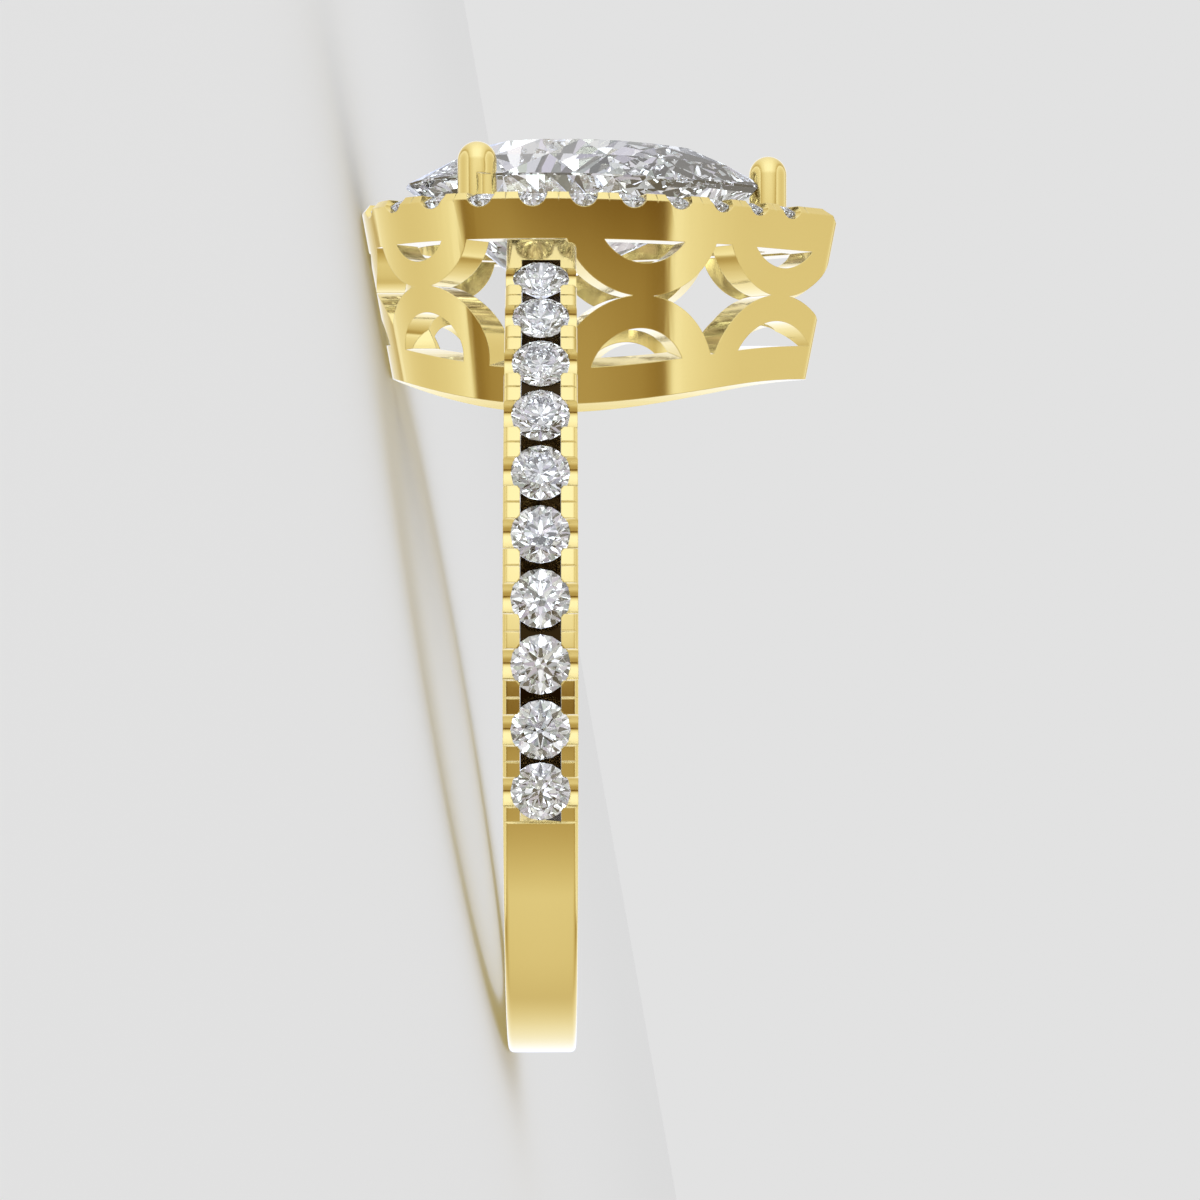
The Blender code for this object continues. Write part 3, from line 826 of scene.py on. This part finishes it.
@dataclass
class Head:
    """The halo's rim on its pierced gallery, arched over the finger."""

    rim: Pear = field(default_factory=lambda: Pear(-5.07 * MM, 8.36 * MM, 4.6 * MM))
    foot: Pear = field(default_factory=lambda: Pear(-3.97 * MM, 7.19 * MM, 3.62 * MM))
    rim_height: float = 13.4 * MM
    rim_chamfer: float = 0.19 * MM
    plate_underside: float = 12.17 * MM
    foot_height: float = 7.4 * MM
    wall: float = 0.8 * MM
    band_radius: float = 9.58 * MM
    well_inset: float = 1.45 * MM
    columns: tuple[GalleryColumn, ...] = (
        GalleryColumn(-3.18, (12.63, 1.64, 0.96), (9.24, 1.8, 1.08)),
        GalleryColumn(2.72, (12.99, 2.29, 1.41), (8.49, 2.25, 1.37)),
        GalleryColumn(6.6, (13.08, 2.2, 1.42), (8.55, 2.38, 1.66)),
        GalleryColumn(None, (12.67, 1.64, 0.96), (9.27, 1.8, 1.08)),
    )
    waist_height: float = 10.73 * MM
    reach_out: float = 0.6 * MM
    reach_in: float = 2.0 * MM
    ring_sides: int = 96
    window_low: tuple[float, float, float] = (-8 * MM, -7 * MM, 6 * MM)
    window_high: tuple[float, float] = (11 * MM, 0.02 * MM)
    past_foot: float = 1.0 * MM
    past_plate: float = 0.5 * MM
    above_windows: float = 0.06 * MM
    stones: int = 24
    stone_diameter: float = 1.15 * MM
    stone_inset: float = 0.72 * MM
    girdle_height: float = 13.2 * MM
    notch_radius: float = 0.39 * MM
    notch_reach: float = 0.75 * MM
    groove_half_width: float = 0.022 * MM
    groove_depth: float = 0.24 * MM
    groove_length: float = 1.5 * MM
    groove_reach: float = 1.2 * MM
    seat_gap: float = 0.02 * MM
    steps: tuple[int, int, int] = (40, 34, 10)
    fine_steps: tuple[int, int, int] = (60, 40, 12)

    def wall_at(self, height: float) -> Pear:
        """The outer outline at a height, on the straight taper."""
        share = (height - self.foot_height) / (self.rim_height - self.foot_height)
        return self.foot.mixed(self.rim, share)

    def blank(self) -> bpy.types.Object:
        """Wall, rim and band as one hollow body with the stone's well."""
        shoulder = self.rim_height - self.rim_chamfer
        top = self.wall_at(self.rim_height).inset(self.rim_chamfer)
        head = Shop.loft("head", [
            (self.wall_at(self.foot_height).outline(self.steps), self.foot_height),
            (self.wall_at(shoulder).outline(self.steps), shoulder),
            (top.outline(self.steps), self.rim_height),
        ])
        foot = self.foot_height - self.past_foot
        ceiling = self.plate_underside + self.above_windows
        hollow = Shop.loft("hollow", [
            (self.wall_at(foot).inset(self.wall).outline(self.steps), foot),
            (self.wall_at(ceiling).inset(self.wall).outline(self.steps), ceiling),
        ])
        Shop.combine(head, hollow)
        edge = self.rim.inset(self.well_inset).outline(self.steps)
        low, high = self.plate_underside - self.past_plate, self.rim_height + self.past_plate
        well = Shop.loft("well", [(edge, low), (edge, high)])
        return Shop.combine(head, well)

    def column_frame(self, x: float | None) -> tuple[Vector, Vector]:
        """Where a gallery column crosses the wall at -Y, and the way out there.

        Args:
            x: The column's place along the finger, or None for the round end.

        Returns:
            The place, at height 0, and the way out.
        """
        wall = self.wall_at(self.waist_height)
        if x is None:
            return Vector((wall.round_end, 0.0, 0.0)), Vector((-1.0, 0.0, 0.0))
        line = wall.half(self.fine_steps)
        a, b = next(pair for pair in zip(line, line[1:]) if pair[0].x <= x <= pair[1].x)
        place = a.lerp(b, (x - a.x) / (b.x - a.x))
        along = (b - a).normalized()
        return Vector((x, -place.y, 0.0)), Vector((-along.y, -along.x, 0.0))

    def window(self) -> bpy.types.Object:
        """What the piercing takes out of the half of the wall at -Y."""
        low = Vector(self.window_low)
        high = Vector((*self.window_high, self.plate_underside))
        bm = bmesh.new()
        bmesh.ops.create_cube(bm, size=1.0)
        stretch = Matrix.Translation((low + high) / 2) @ Matrix.Diagonal((*(high - low), 1.0))
        bmesh.ops.transform(bm, matrix=stretch, verts=bm.verts)
        window = Shop.solid("window", bm)
        Shop.combine(window, finger_bar("band", self.band_radius))
        half = (self.reach_out + self.reach_in) / 2
        for column in self.columns:
            place, out = self.column_frame(None if column.x is None else column.x * MM)
            centre = place + out * (self.reach_out - self.reach_in) / 2
            for sizes in (column.upper, column.lower):
                height, outer, inner = (size * MM for size in sizes)
                profile = [(inner, half), (outer, half), (outer, -half), (inner, -half)]
                ring = Shop.turned("gallery_ring", profile, self.ring_sides, closed=True)
                Shop.moved(ring, stand(Vector((centre.x, centre.y, height)), out))
                Shop.combine(window, ring)
        return window

    def rim_frames(self, offset: float = 0.0) -> list[tuple[Vector, Vector]]:
        """Places spaced evenly round the halo, with their ways out.

        Args:
            offset: 0 for the stones, from the round end on, and 0.5 for midway between them.

        Returns:
            The places and the ways out.
        """
        line = self.rim.inset(self.stone_inset).outline(self.fine_steps)
        loop = line[-1:] + line
        total = sum((b - a).length for a, b in zip(loop, loop[1:]))
        places = [total * (i + offset) / self.stones for i in range(self.stones)]
        return [self.point_along(loop, place) for place in places]

    def point_along(self, loop: list[Vector], wanted: float) -> tuple[Vector, Vector]:
        """A point on a closed line and the way out there.

        Args:
            loop: The line's points, the first one also last.
            wanted: Length along the line.

        Returns:
            The point at girdle height and the way out.
        """
        for a, b in zip(loop, loop[1:]):
            step = (b - a).length
            if wanted < step:
                along = (b - a) / step
                place = a + along * wanted
                out = Vector((along.y, -along.x, 0.0))
                return Vector((place.x, place.y, self.girdle_height)), out
            wanted -= step
        raise ValueError("the length is past the line's end")

    def cut_settings(self, metal: bpy.types.Object) -> None:
        """Cut a seat and a notch for each stone, and a groove in each block."""
        for centre, out in self.rim_frames():
            hollow = stone_seat(self.stone_diameter, self.seat_gap)
            Shop.combine(metal, Shop.moved(hollow, Matrix.Translation(centre)))
            notch = Shop.bar("notch", self.notch_radius, 2 * self.notch_reach, NOTCH_SIDES)
            middle = Vector((centre.x, centre.y, self.rim_height)) + out * self.notch_reach
            Shop.combine(metal, Shop.moved(notch, stand(middle, out)))
        up = Vector((0.0, 0.0, 1.0))
        for centre, out in self.rim_frames(0.5):
            size = (self.groove_half_width, self.groove_depth, self.groove_length)
            middle = Vector((centre.x, centre.y, self.rim_height)) + out * self.groove_reach
            turn = Matrix((out.cross(up), out, up)).transposed()
            frame = Matrix.Translation(middle) @ turn.to_4x4()
            Shop.combine(metal, Shop.moved(Shop.wedge("groove", *size), frame))


def finger_bar(name: str, radius: float) -> bpy.types.Object:
    """A long round bar along the finger."""
    bar = Shop.bar(name, radius, FINGER_BAR_LENGTH, FINGER_BAR_SIDES)
    half_side = Matrix.Rotation(math.pi / FINGER_BAR_SIDES, 4, "Z")
    return Shop.moved(bar, Matrix.Rotation(math.pi / 2, 4, "Y") @ half_side)


@dataclass
class Prongs:
    """Three round wires with domed tops that hold the centre stone."""

    radius: float = 0.53 * MM
    top: float = 14.9 * MM
    foot: float = 12.4 * MM
    places: tuple[tuple[float, float], ...] = (
        (-1.73 * MM, 3.0 * MM),
        (-1.73 * MM, -3.0 * MM),
        (6.35 * MM, 0.0),
    )
    dome_steps: int = 12
    sides: int = 48

    def wires(self) -> list[bpy.types.Object]:
        """One solid for each prong."""
        profile = []
        for i in range(self.dome_steps + 1):
            angle = math.pi / 2 * i / self.dome_steps
            height = self.top - self.radius * (1 - math.cos(angle))
            profile.append((self.radius * math.sin(angle), height))
        profile += [(self.radius, self.foot), (0.0, self.foot)]
        made = []
        for x, y in self.places:
            wire = Shop.turned("prong", profile, self.sides)
            made.append(Shop.moved(wire, Matrix.Translation((x, y, 0.0))))
        return made


@dataclass
class RoundBrilliant:
    """A round stone of one unit's diameter, with its girdle at the origin."""

    crown_share = 0.145
    table_share = 0.57
    star_reach: float = 0.775
    lower_reach: float = 0.26
    pavilion_share = 0.43
    girdle_share = 0.03

    def mesh(self) -> bpy.types.Mesh:
        """Cut the facets as the hull of their corners.

        Returns:
            The stone's mesh: table, stars, kites, halves, girdle, lower halves and mains.
        """
        half = self.girdle_share / 2
        crown_top = half + self.crown_share
        table = self.table_share / 2
        crown_slope = self.crown_share / (0.5 - table)
        depth = self.pavilion_share
        pavilion_slope = depth / 0.5
        corners = [(0.0, 0.0, -half - depth)]
        for i in range(8):
            angle = math.pi / 4 * i
            between = angle + math.pi / 8
            star = self.star_reach / 2
            lower = self.lower_reach / 2
            flat = math.cos(math.pi / 8)
            corners.append(polar(table, angle, crown_top))
            corners.append(polar(star, between, crown_top - (star * flat - table) * crown_slope))
            corners.append(polar(lower, between, -half - depth + lower * flat * pavilion_slope))
            for turn in (angle, between):
                corners.append(polar(0.5, turn, half))
                corners.append(polar(0.5, turn, -half))
        return hull_mesh("round_brilliant", corners)


def polar(radius: float, angle: float, height: float) -> tuple[float, float, float]:
    """A point by radius, angle and height."""
    return (radius * math.cos(angle), radius * math.sin(angle), height)


def hull_mesh(name: str, corners: list[tuple[float, float, float]]) -> bpy.types.Mesh:
    """The convex body of a stone's corners, with flat facets.

    Args:
        name: The mesh's name.
        corners: The corner points.

    Returns:
        The mesh.
    """
    bm = bmesh.new()
    for corner in corners:
        bm.verts.new(corner)
    hull = bmesh.ops.convex_hull(bm, input=bm.verts)
    loose = [item for item in hull["geom_interior"] if isinstance(item, bmesh.types.BMVert)]
    bmesh.ops.delete(bm, geom=loose, context="VERTS")
    bmesh.ops.recalc_face_normals(bm, faces=bm.faces)
    mesh = bpy.data.meshes.new(name)
    bm.to_mesh(mesh)
    bm.free()
    mesh.shade_flat()
    return mesh


@dataclass
class CentreStone:
    """The pear-cut stone."""

    outline: Pear = field(default_factory=lambda: Pear(-3.8 * MM, 6.3 * MM, 3.33 * MM, 0.35 * MM))
    girdle_height: float = 14.0 * MM
    girdle_thickness: float = 0.06 * MM
    crown: float = 1.1 * MM
    pavilion: float = 2.95 * MM
    table_share: float = 0.56
    star_share: float = 0.79
    lower_share: float = 0.42
    star_drop: float = 0.86
    lower_bulge: float = 1.04
    culet_x: float = -0.2 * MM
    steps: tuple[int, int, int] = (6, 5, 1)

    def seat(self, gap: float) -> bpy.types.Object:
        """The stone grown by a gap, as a cutter for the prongs."""
        return Shop.piece("centre_seat", self.mesh(gap))

    def mesh(self, gap: float = 0.0) -> bpy.types.Mesh:
        """Cut the facets.

        Args:
            gap: How far the stone is grown.

        Returns:
            The stone's mesh.
        """
        girdle = self.girdle_thickness / 2 + gap / 2
        edge = self.outline.inset(-gap).outline(self.steps)
        top = self.girdle_height + girdle + self.crown
        foot = self.girdle_height - girdle - self.pavilion - gap
        middle = Vector(((self.outline.round_end + self.outline.tip) / 2, 0.0))
        culet = Vector((self.culet_x, 0.0))
        corners = [(culet.x, culet.y, foot)]
        for number, point in enumerate(edge):
            corners.append((point.x, point.y, self.girdle_height + girdle))
            corners.append((point.x, point.y, self.girdle_height - girdle))
            if number % 2 == 0:
                table = middle + (point - middle) * self.table_share
                corners.append((table.x, table.y, top))
                low = culet + (point - culet) * self.lower_share
                rise = self.lower_share * self.lower_bulge
                height = foot + (self.girdle_height - girdle - foot) * rise
                corners.append((low.x, low.y, height))
            else:
                star = middle + (point - middle) * self.star_share
                drop = (self.star_share - self.table_share) / (1 - self.table_share)
                corners.append((star.x, star.y, top - self.crown * drop * self.star_drop))
        return hull_mesh("pear_brilliant", corners)


@dataclass
class Scatter:
    """A Geometry Nodes tree that sets one stone of one unit's diameter on every seat."""

    stone: bpy.types.Object
    diameter: float
    finish: bpy.types.Material

    def tree(self) -> bpy.types.GeometryNodeTree:
        """Build the tree with its named inputs."""
        tree = bpy.data.node_groups.new("stone_setting", "GeometryNodeTree")
        for name, way, kind in (
            ("Seats", "INPUT", "Geometry"),
            ("Stone", "INPUT", "Object"),
            ("Diameter", "INPUT", "Float"),
            ("Finish", "INPUT", "Material"),
            ("Stones", "OUTPUT", "Geometry"),
        ):
            tree.interface.new_socket(name, in_out=way, socket_type="NodeSocket" + kind)
        graph = Graph(tree)
        given = graph.node("NodeGroupInput").outputs
        stone = graph.node("GeometryNodeObjectInfo", {"Object": given["Stone"]})
        turn = graph.node(
            "GeometryNodeInputNamedAttribute", {"Name": "turn"}, data_type="FLOAT_VECTOR"
        )
        place = graph.node("GeometryNodeInstanceOnPoints", {
            "Points": given["Seats"],
            "Instance": stone.outputs["Geometry"],
            "Rotation": turn.outputs["Attribute"],
            "Scale": given["Diameter"],
        })
        solid = {"Geometry": place.outputs["Instances"]}
        realized = graph.node("GeometryNodeRealizeInstances", solid).outputs["Geometry"]
        finished = {"Geometry": realized, "Material": given["Finish"]}
        dressed = graph.node("GeometryNodeSetMaterial", finished).outputs["Geometry"]
        graph.node("NodeGroupOutput", {"Stones": dressed})
        return tree

    def set_on(self, name: str, frames: list[Matrix]) -> bpy.types.Object:
        """Set a stone in every frame.

        Args:
            name: The piece's name.
            frames: Where the stones stand.

        Returns:
            One plain mesh of all the stones.
        """
        seats = bpy.data.meshes.new(name + "_seats")
        seats.from_pydata([tuple(frame.translation) for frame in frames], [], [])
        turns = seats.attributes.new("turn", "FLOAT_VECTOR", "POINT")
        for value, frame in zip(turns.data, frames):
            value.vector = frame.to_euler("XYZ")
        piece = Shop.piece(name, seats)
        modifier = piece.modifiers.new("setting", "NODES")
        modifier.node_group = self.tree()
        wanted = {"Stone": self.stone, "Diameter": self.diameter, "Finish": self.finish}
        for item in modifier.node_group.interface.items_tree:
            if item.in_out == "INPUT" and item.name in wanted:
                modifier[item.identifier] = wanted[item.name]
        piece.update_tag()
        bpy.context.view_layer.update()
        Shop.bake(piece)
        piece.data.shade_flat()
        return piece


@dataclass
class Ring:
    """The whole ring, from bare metal to set stones."""

    pose: RingPose
    shank: Shank = field(default_factory=Shank)
    head: Head = field(default_factory=Head)
    prongs: Prongs = field(default_factory=Prongs)
    centre: CentreStone = field(default_factory=CentreStone)
    seat_gap: float = 0.02 * MM

    def metal(self) -> bpy.types.Object:
        """Solder the sub-parts, cut the settings and dress the gold."""
        head = self.head.blank()
        window = self.head.window()
        far = Shop.piece("far_window", window.data.copy())
        flip = bmesh.new()
        flip.from_mesh(far.data)
        bmesh.ops.transform(flip, matrix=Matrix.Diagonal((1.0, -1.0, 1.0, 1.0)), verts=flip.verts)
        bmesh.ops.reverse_faces(flip, faces=flip.faces)
        flip.to_mesh(far.data)
        flip.free()
        Shop.combine(head, window)
        Shop.combine(head, far)
        metal = self.shank.blank()
        Shop.combine(metal, head, Cut.JOIN)
        for wire in self.prongs.wires():
            Shop.combine(metal, wire, Cut.JOIN)
        bore = finger_bar("finger", self.shank.finger_radius)
        Shop.combine(metal, bore)
        Shop.combine(metal, self.centre.seat(self.seat_gap))
        LOG.info("metal soldered: %d faces", len(metal.data.polygons))
        self.shank.cut_settings(metal)
        self.head.cut_settings(metal)
        # Mark the channel faces that the gold paints near-black as shade.
        self.shank.mark_painted_shade(metal)
        Shop.moved(metal, self.pose.matrix)
        metal.name = "gold_ring"
        metal.data.name = "gold_ring"
        metal.data.materials.clear()
        metal.data.materials.append(PolishedGold().material())
        metal.data.shade_smooth()
        metal.data.set_sharp_from_angle(angle=SHARP_ANGLE)
        even = metal.modifiers.new("even_shading", "WEIGHTED_NORMAL")
        even.keep_sharp = True
        Shop.bake(metal)
        metal.visible_transmission = False
        metal.visible_glossy = False
        self.settle(metal, ["ring_metal"])
        return metal

    def centre_stone(self) -> bpy.types.Object:
        """Cut the pear stone and set it."""
        piece = Shop.piece("pear_stone", self.centre.mesh())
        piece.data.materials.append(ClearStone("centre_stone_clear").material())
        Shop.moved(piece, self.pose.matrix)
        self.settle(piece, ["centre_stone"])
        return piece

    def small_stones(self) -> list[bpy.types.Object]:
        """Set the halo's stones and the shoulders' stones."""
        master = Shop.piece("master_stone", RoundBrilliant().mesh())
        finish = ClearStone("small_stones_clear").material()
        halo_frames = []
        for centre, out in self.head.rim_frames():
            turn = Matrix.Rotation(math.atan2(out.y, out.x), 4, "Z")
            halo_frames.append(self.pose.matrix @ Matrix.Translation(centre) @ turn)
        shank_frames = [self.pose.matrix @ frame for frame in self.shank.stone_frames()]
        halo = Scatter(master, self.head.stone_diameter, finish).set_on("halo_stones", halo_frames)
        shank = Scatter(master, self.shank.stone_diameter, finish).set_on(
            "shank_stones", shank_frames
        )
        bpy.data.objects.remove(master)
        halo_nodes = [f"halo_stone_{i + 1:02d}" for i in range(len(halo_frames))]
        shank_nodes = [f"shank_stone_{i + 1:02d}" for i in range(len(shank_frames))]
        self.settle(halo, halo_nodes)
        self.settle(shank, shank_nodes)
        return [halo, shank]

    def settle(self, piece: bpy.types.Object, nodes: list[str]) -> None:
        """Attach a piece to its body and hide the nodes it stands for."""
        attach(piece, BODY)
        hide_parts(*nodes)
        LOG.info("%s: %d faces", piece.name, len(piece.data.polygons))


@dataclass
class Studio:
    """Pale floor, soft surroundings and the photograph's camera."""

    pose: RingPose
    camera_place: Vector = field(default_factory=lambda: Vector((0.33, -71.6, 5.54)) * MM)
    yaw: float = math.radians(1.04)
    pitch: float = math.radians(-2.49)
    lens: float = 76.0
    backdrop: float = 0.76
    glow: float = 0.80
    floor_size: float = 6.0
    neutral_level: float = 0.85
    warmth: tuple[float, float, float] = (1.0, 1.33, 2.2)
    middle_cloth: Stops = (
        (0.0, 1.0), (0.04, 1.15), (0.09, 1.12), (0.145, 0.97), (0.2, 0.71), (0.25, 0.79),
        (0.325, 0.84), (0.38, 0.60), (0.403, 0.52), (0.461, 0.50), (0.471, 0.12), (0.482, 0.12),
        (0.495, 0.50), (0.519, 0.95), (0.569, 1.20), (0.667, 1.20), (0.78, 1.10), (0.889, 0.95),
        (0.96, 1.12), (1.0, 1.0),
    )
    middle_fall: Stops = ((0.0, 1.0), (0.30, 0.97), (0.60, 0.80), (0.74, 0.52), (1.0, 0.52))
    side_cloth: Stops = ((0.0, 1.18), (0.73, 1.18), (0.83, 0.96), (1.0, 0.80))
    cloth_edge: Stops = ((0.0, 0.0), (0.73, 0.0), (0.77, 1.0), (1.0, 1.0))
    lamp_scale: float = 14.0
    lamp_levels: Stops = (
        (0.0, 0.02), (0.2, 0.04), (0.26, 0.28), (0.5, 0.46), (0.8, 0.66), (0.9, 1.2), (1.0, 3.4),
    )
    fire: float = 0.12
    softbox_size: float = 0.12
    softbox_energy: float = 0.022
    softbox_place: tuple[float, float, float] = (-0.09, -0.05, 0.16)

    def floor(self) -> bpy.types.Object:
        """Lay the floor that the ring rests on."""
        bm = bmesh.new()
        bmesh.ops.create_grid(bm, x_segments=1, y_segments=1, size=self.floor_size / 2)
        floor = Shop.solid("floor", bm)
        floor.data.materials.append(PaleFloor().material())
        floor.visible_glossy = False
        floor.visible_transmission = False
        return floor

    def surroundings(self) -> None:
        """Build the soft light tent, with dimmer cloths before and behind the ring."""
        world = bpy.data.worlds.new("light_tent")
        bpy.context.scene.world = world
        world.use_nodes = True
        world.node_tree.nodes.clear()
        graph = Graph(world.node_tree)
        turn = self.pose.matrix.to_3x3().inverted().to_4x4().to_euler("XYZ")
        place = graph.node("ShaderNodeTexCoord").outputs["Generated"]
        mapped = graph.node("ShaderNodeMapping", {"Vector": place, "Rotation": turn})
        upright = mapped.outputs["Vector"]
        ray = graph.node("ShaderNodeLightPath").outputs
        seen = graph.mix(ray["Is Glossy Ray"], grey(self.glow), self.tent(graph, upright))
        seen = graph.mix(ray["Is Transmission Ray"], seen, self.lamps(graph, upright))
        seen = graph.mix(ray["Is Camera Ray"], seen, grey(self.backdrop))
        light = graph.node("ShaderNodeBackground", {"Color": seen}).outputs["Background"]
        graph.node("ShaderNodeOutputWorld", {"Surface": light})

    def tent(self, graph: Graph, direction: Socket) -> Socket:
        """What polished gold mirrors: bright cloths at both sides, dimmer ones between them.

        Args:
            graph: The world's graph.
            direction: The direction in the ring's upright frame.

        Returns:
            The colour's socket.
        """
        axes = graph.node("ShaderNodeSeparateXYZ", {"Vector": direction}).outputs
        sideways = graph.math("ABSOLUTE", axes["X"])
        forward = graph.math("MULTIPLY", axes["Y"], -1.0)
        round_finger = graph.math("ARCTAN2", axes["Z"], forward)
        turn = graph.math("MULTIPLY_ADD", round_finger, 0.5 / math.pi, 0.5)
        fall = graph.curve(sideways, self.middle_fall)
        middle = graph.math("MULTIPLY", graph.curve(turn, self.middle_cloth), fall)
        span = graph.math("SUBTRACT", graph.curve(sideways, self.side_cloth), middle)
        edge = graph.curve(sideways, self.cloth_edge)
        value = graph.math("MULTIPLY_ADD", span, edge, middle)
        level = graph.math("DIVIDE", value, self.neutral_level)
        bent = [graph.math("POWER", level, power) for power in self.warmth]
        parts = [graph.math("MULTIPLY", part, self.neutral_level) for part in bent]
        return graph.node("ShaderNodeCombineColor", dict(enumerate(parts))).outputs["Color"]

    def lamps(self, graph: Graph, direction: Socket) -> Socket:
        """What the stones send back: many small panels, some bright and some dark.

        Args:
            graph: The world's graph.
            direction: The direction in the ring's upright frame.

        Returns:
            The colour's socket.
        """
        pattern = {"Vector": direction, "Scale": self.lamp_scale}
        cells = graph.node("ShaderNodeTexVoronoi", pattern).outputs["Color"]
        parts = graph.node("ShaderNodeSeparateColor", {"Color": cells})
        level = graph.curve(parts.outputs["Red"], self.lamp_levels)
        white = graph.node("ShaderNodeCombineColor", dict.fromkeys(range(3), level))
        return graph.mix(self.fire, white.outputs["Color"], cells, "OVERLAY")

    def softbox(self) -> None:
        """Hang one broad soft light, which gives the ring its shadow."""
        light = bpy.data.lights.new("softbox", "AREA")
        light.size = self.softbox_size
        light.energy = self.softbox_energy
        lamp = bpy.data.objects.new("softbox", light)
        bpy.context.scene.collection.objects.link(lamp)
        lamp.visible_glossy = False
        lamp.location = self.softbox_place
        lamp.rotation_euler = (-Vector(self.softbox_place)).to_track_quat("-Z", "Y").to_euler()

    def camera(self) -> bpy.types.Object:
        """Set up the photograph's camera, which is turned with the ring."""
        data = bpy.data.cameras.new("camera")
        data.lens = self.lens
        data.sensor_width = 36.0
        data.clip_start = 0.001
        data.clip_end = 100.0
        camera = bpy.data.objects.new("camera", data)
        bpy.context.scene.collection.objects.link(camera)
        level = math.cos(self.pitch)
        sight = (math.sin(self.yaw) * level, math.cos(self.yaw) * level, math.sin(self.pitch))
        ahead = Vector(sight)
        right = ahead.cross(Vector((0.0, 0.0, 1.0))).normalized()
        up = right.cross(ahead)
        turn = Matrix((right, up, -ahead)).transposed().to_4x4()
        camera.matrix_world = self.pose.matrix @ Matrix.Translation(self.camera_place) @ turn
        bpy.context.scene.camera = camera
        return camera


def main() -> None:
    """Build the ring over its frame, then the studio round it."""
    logging.basicConfig(level=logging.INFO, format="%(name)s: %(message)s")
    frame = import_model()
    scene = bpy.context.scene
    scene.view_settings.view_transform = "Standard"
    scene.cycles.max_bounces = STONE_BOUNCES
    scene.cycles.glossy_bounces = STONE_BOUNCES
    scene.cycles.transmission_bounces = STONE_BOUNCES
    shank = Shank()
    face_point = Vector((shank.half_width, 0.0, -9.4 * MM))
    pose = RingPose.from_record(frame["record"], face_point)
    studio = Studio(pose)
    studio.camera()
    studio.floor()
    studio.surroundings()
    studio.softbox()
    ring = Ring(pose, shank=shank)
    ring.metal()
    ring.centre_stone()
    ring.small_stones()


if __name__ == "__main__":
    main()
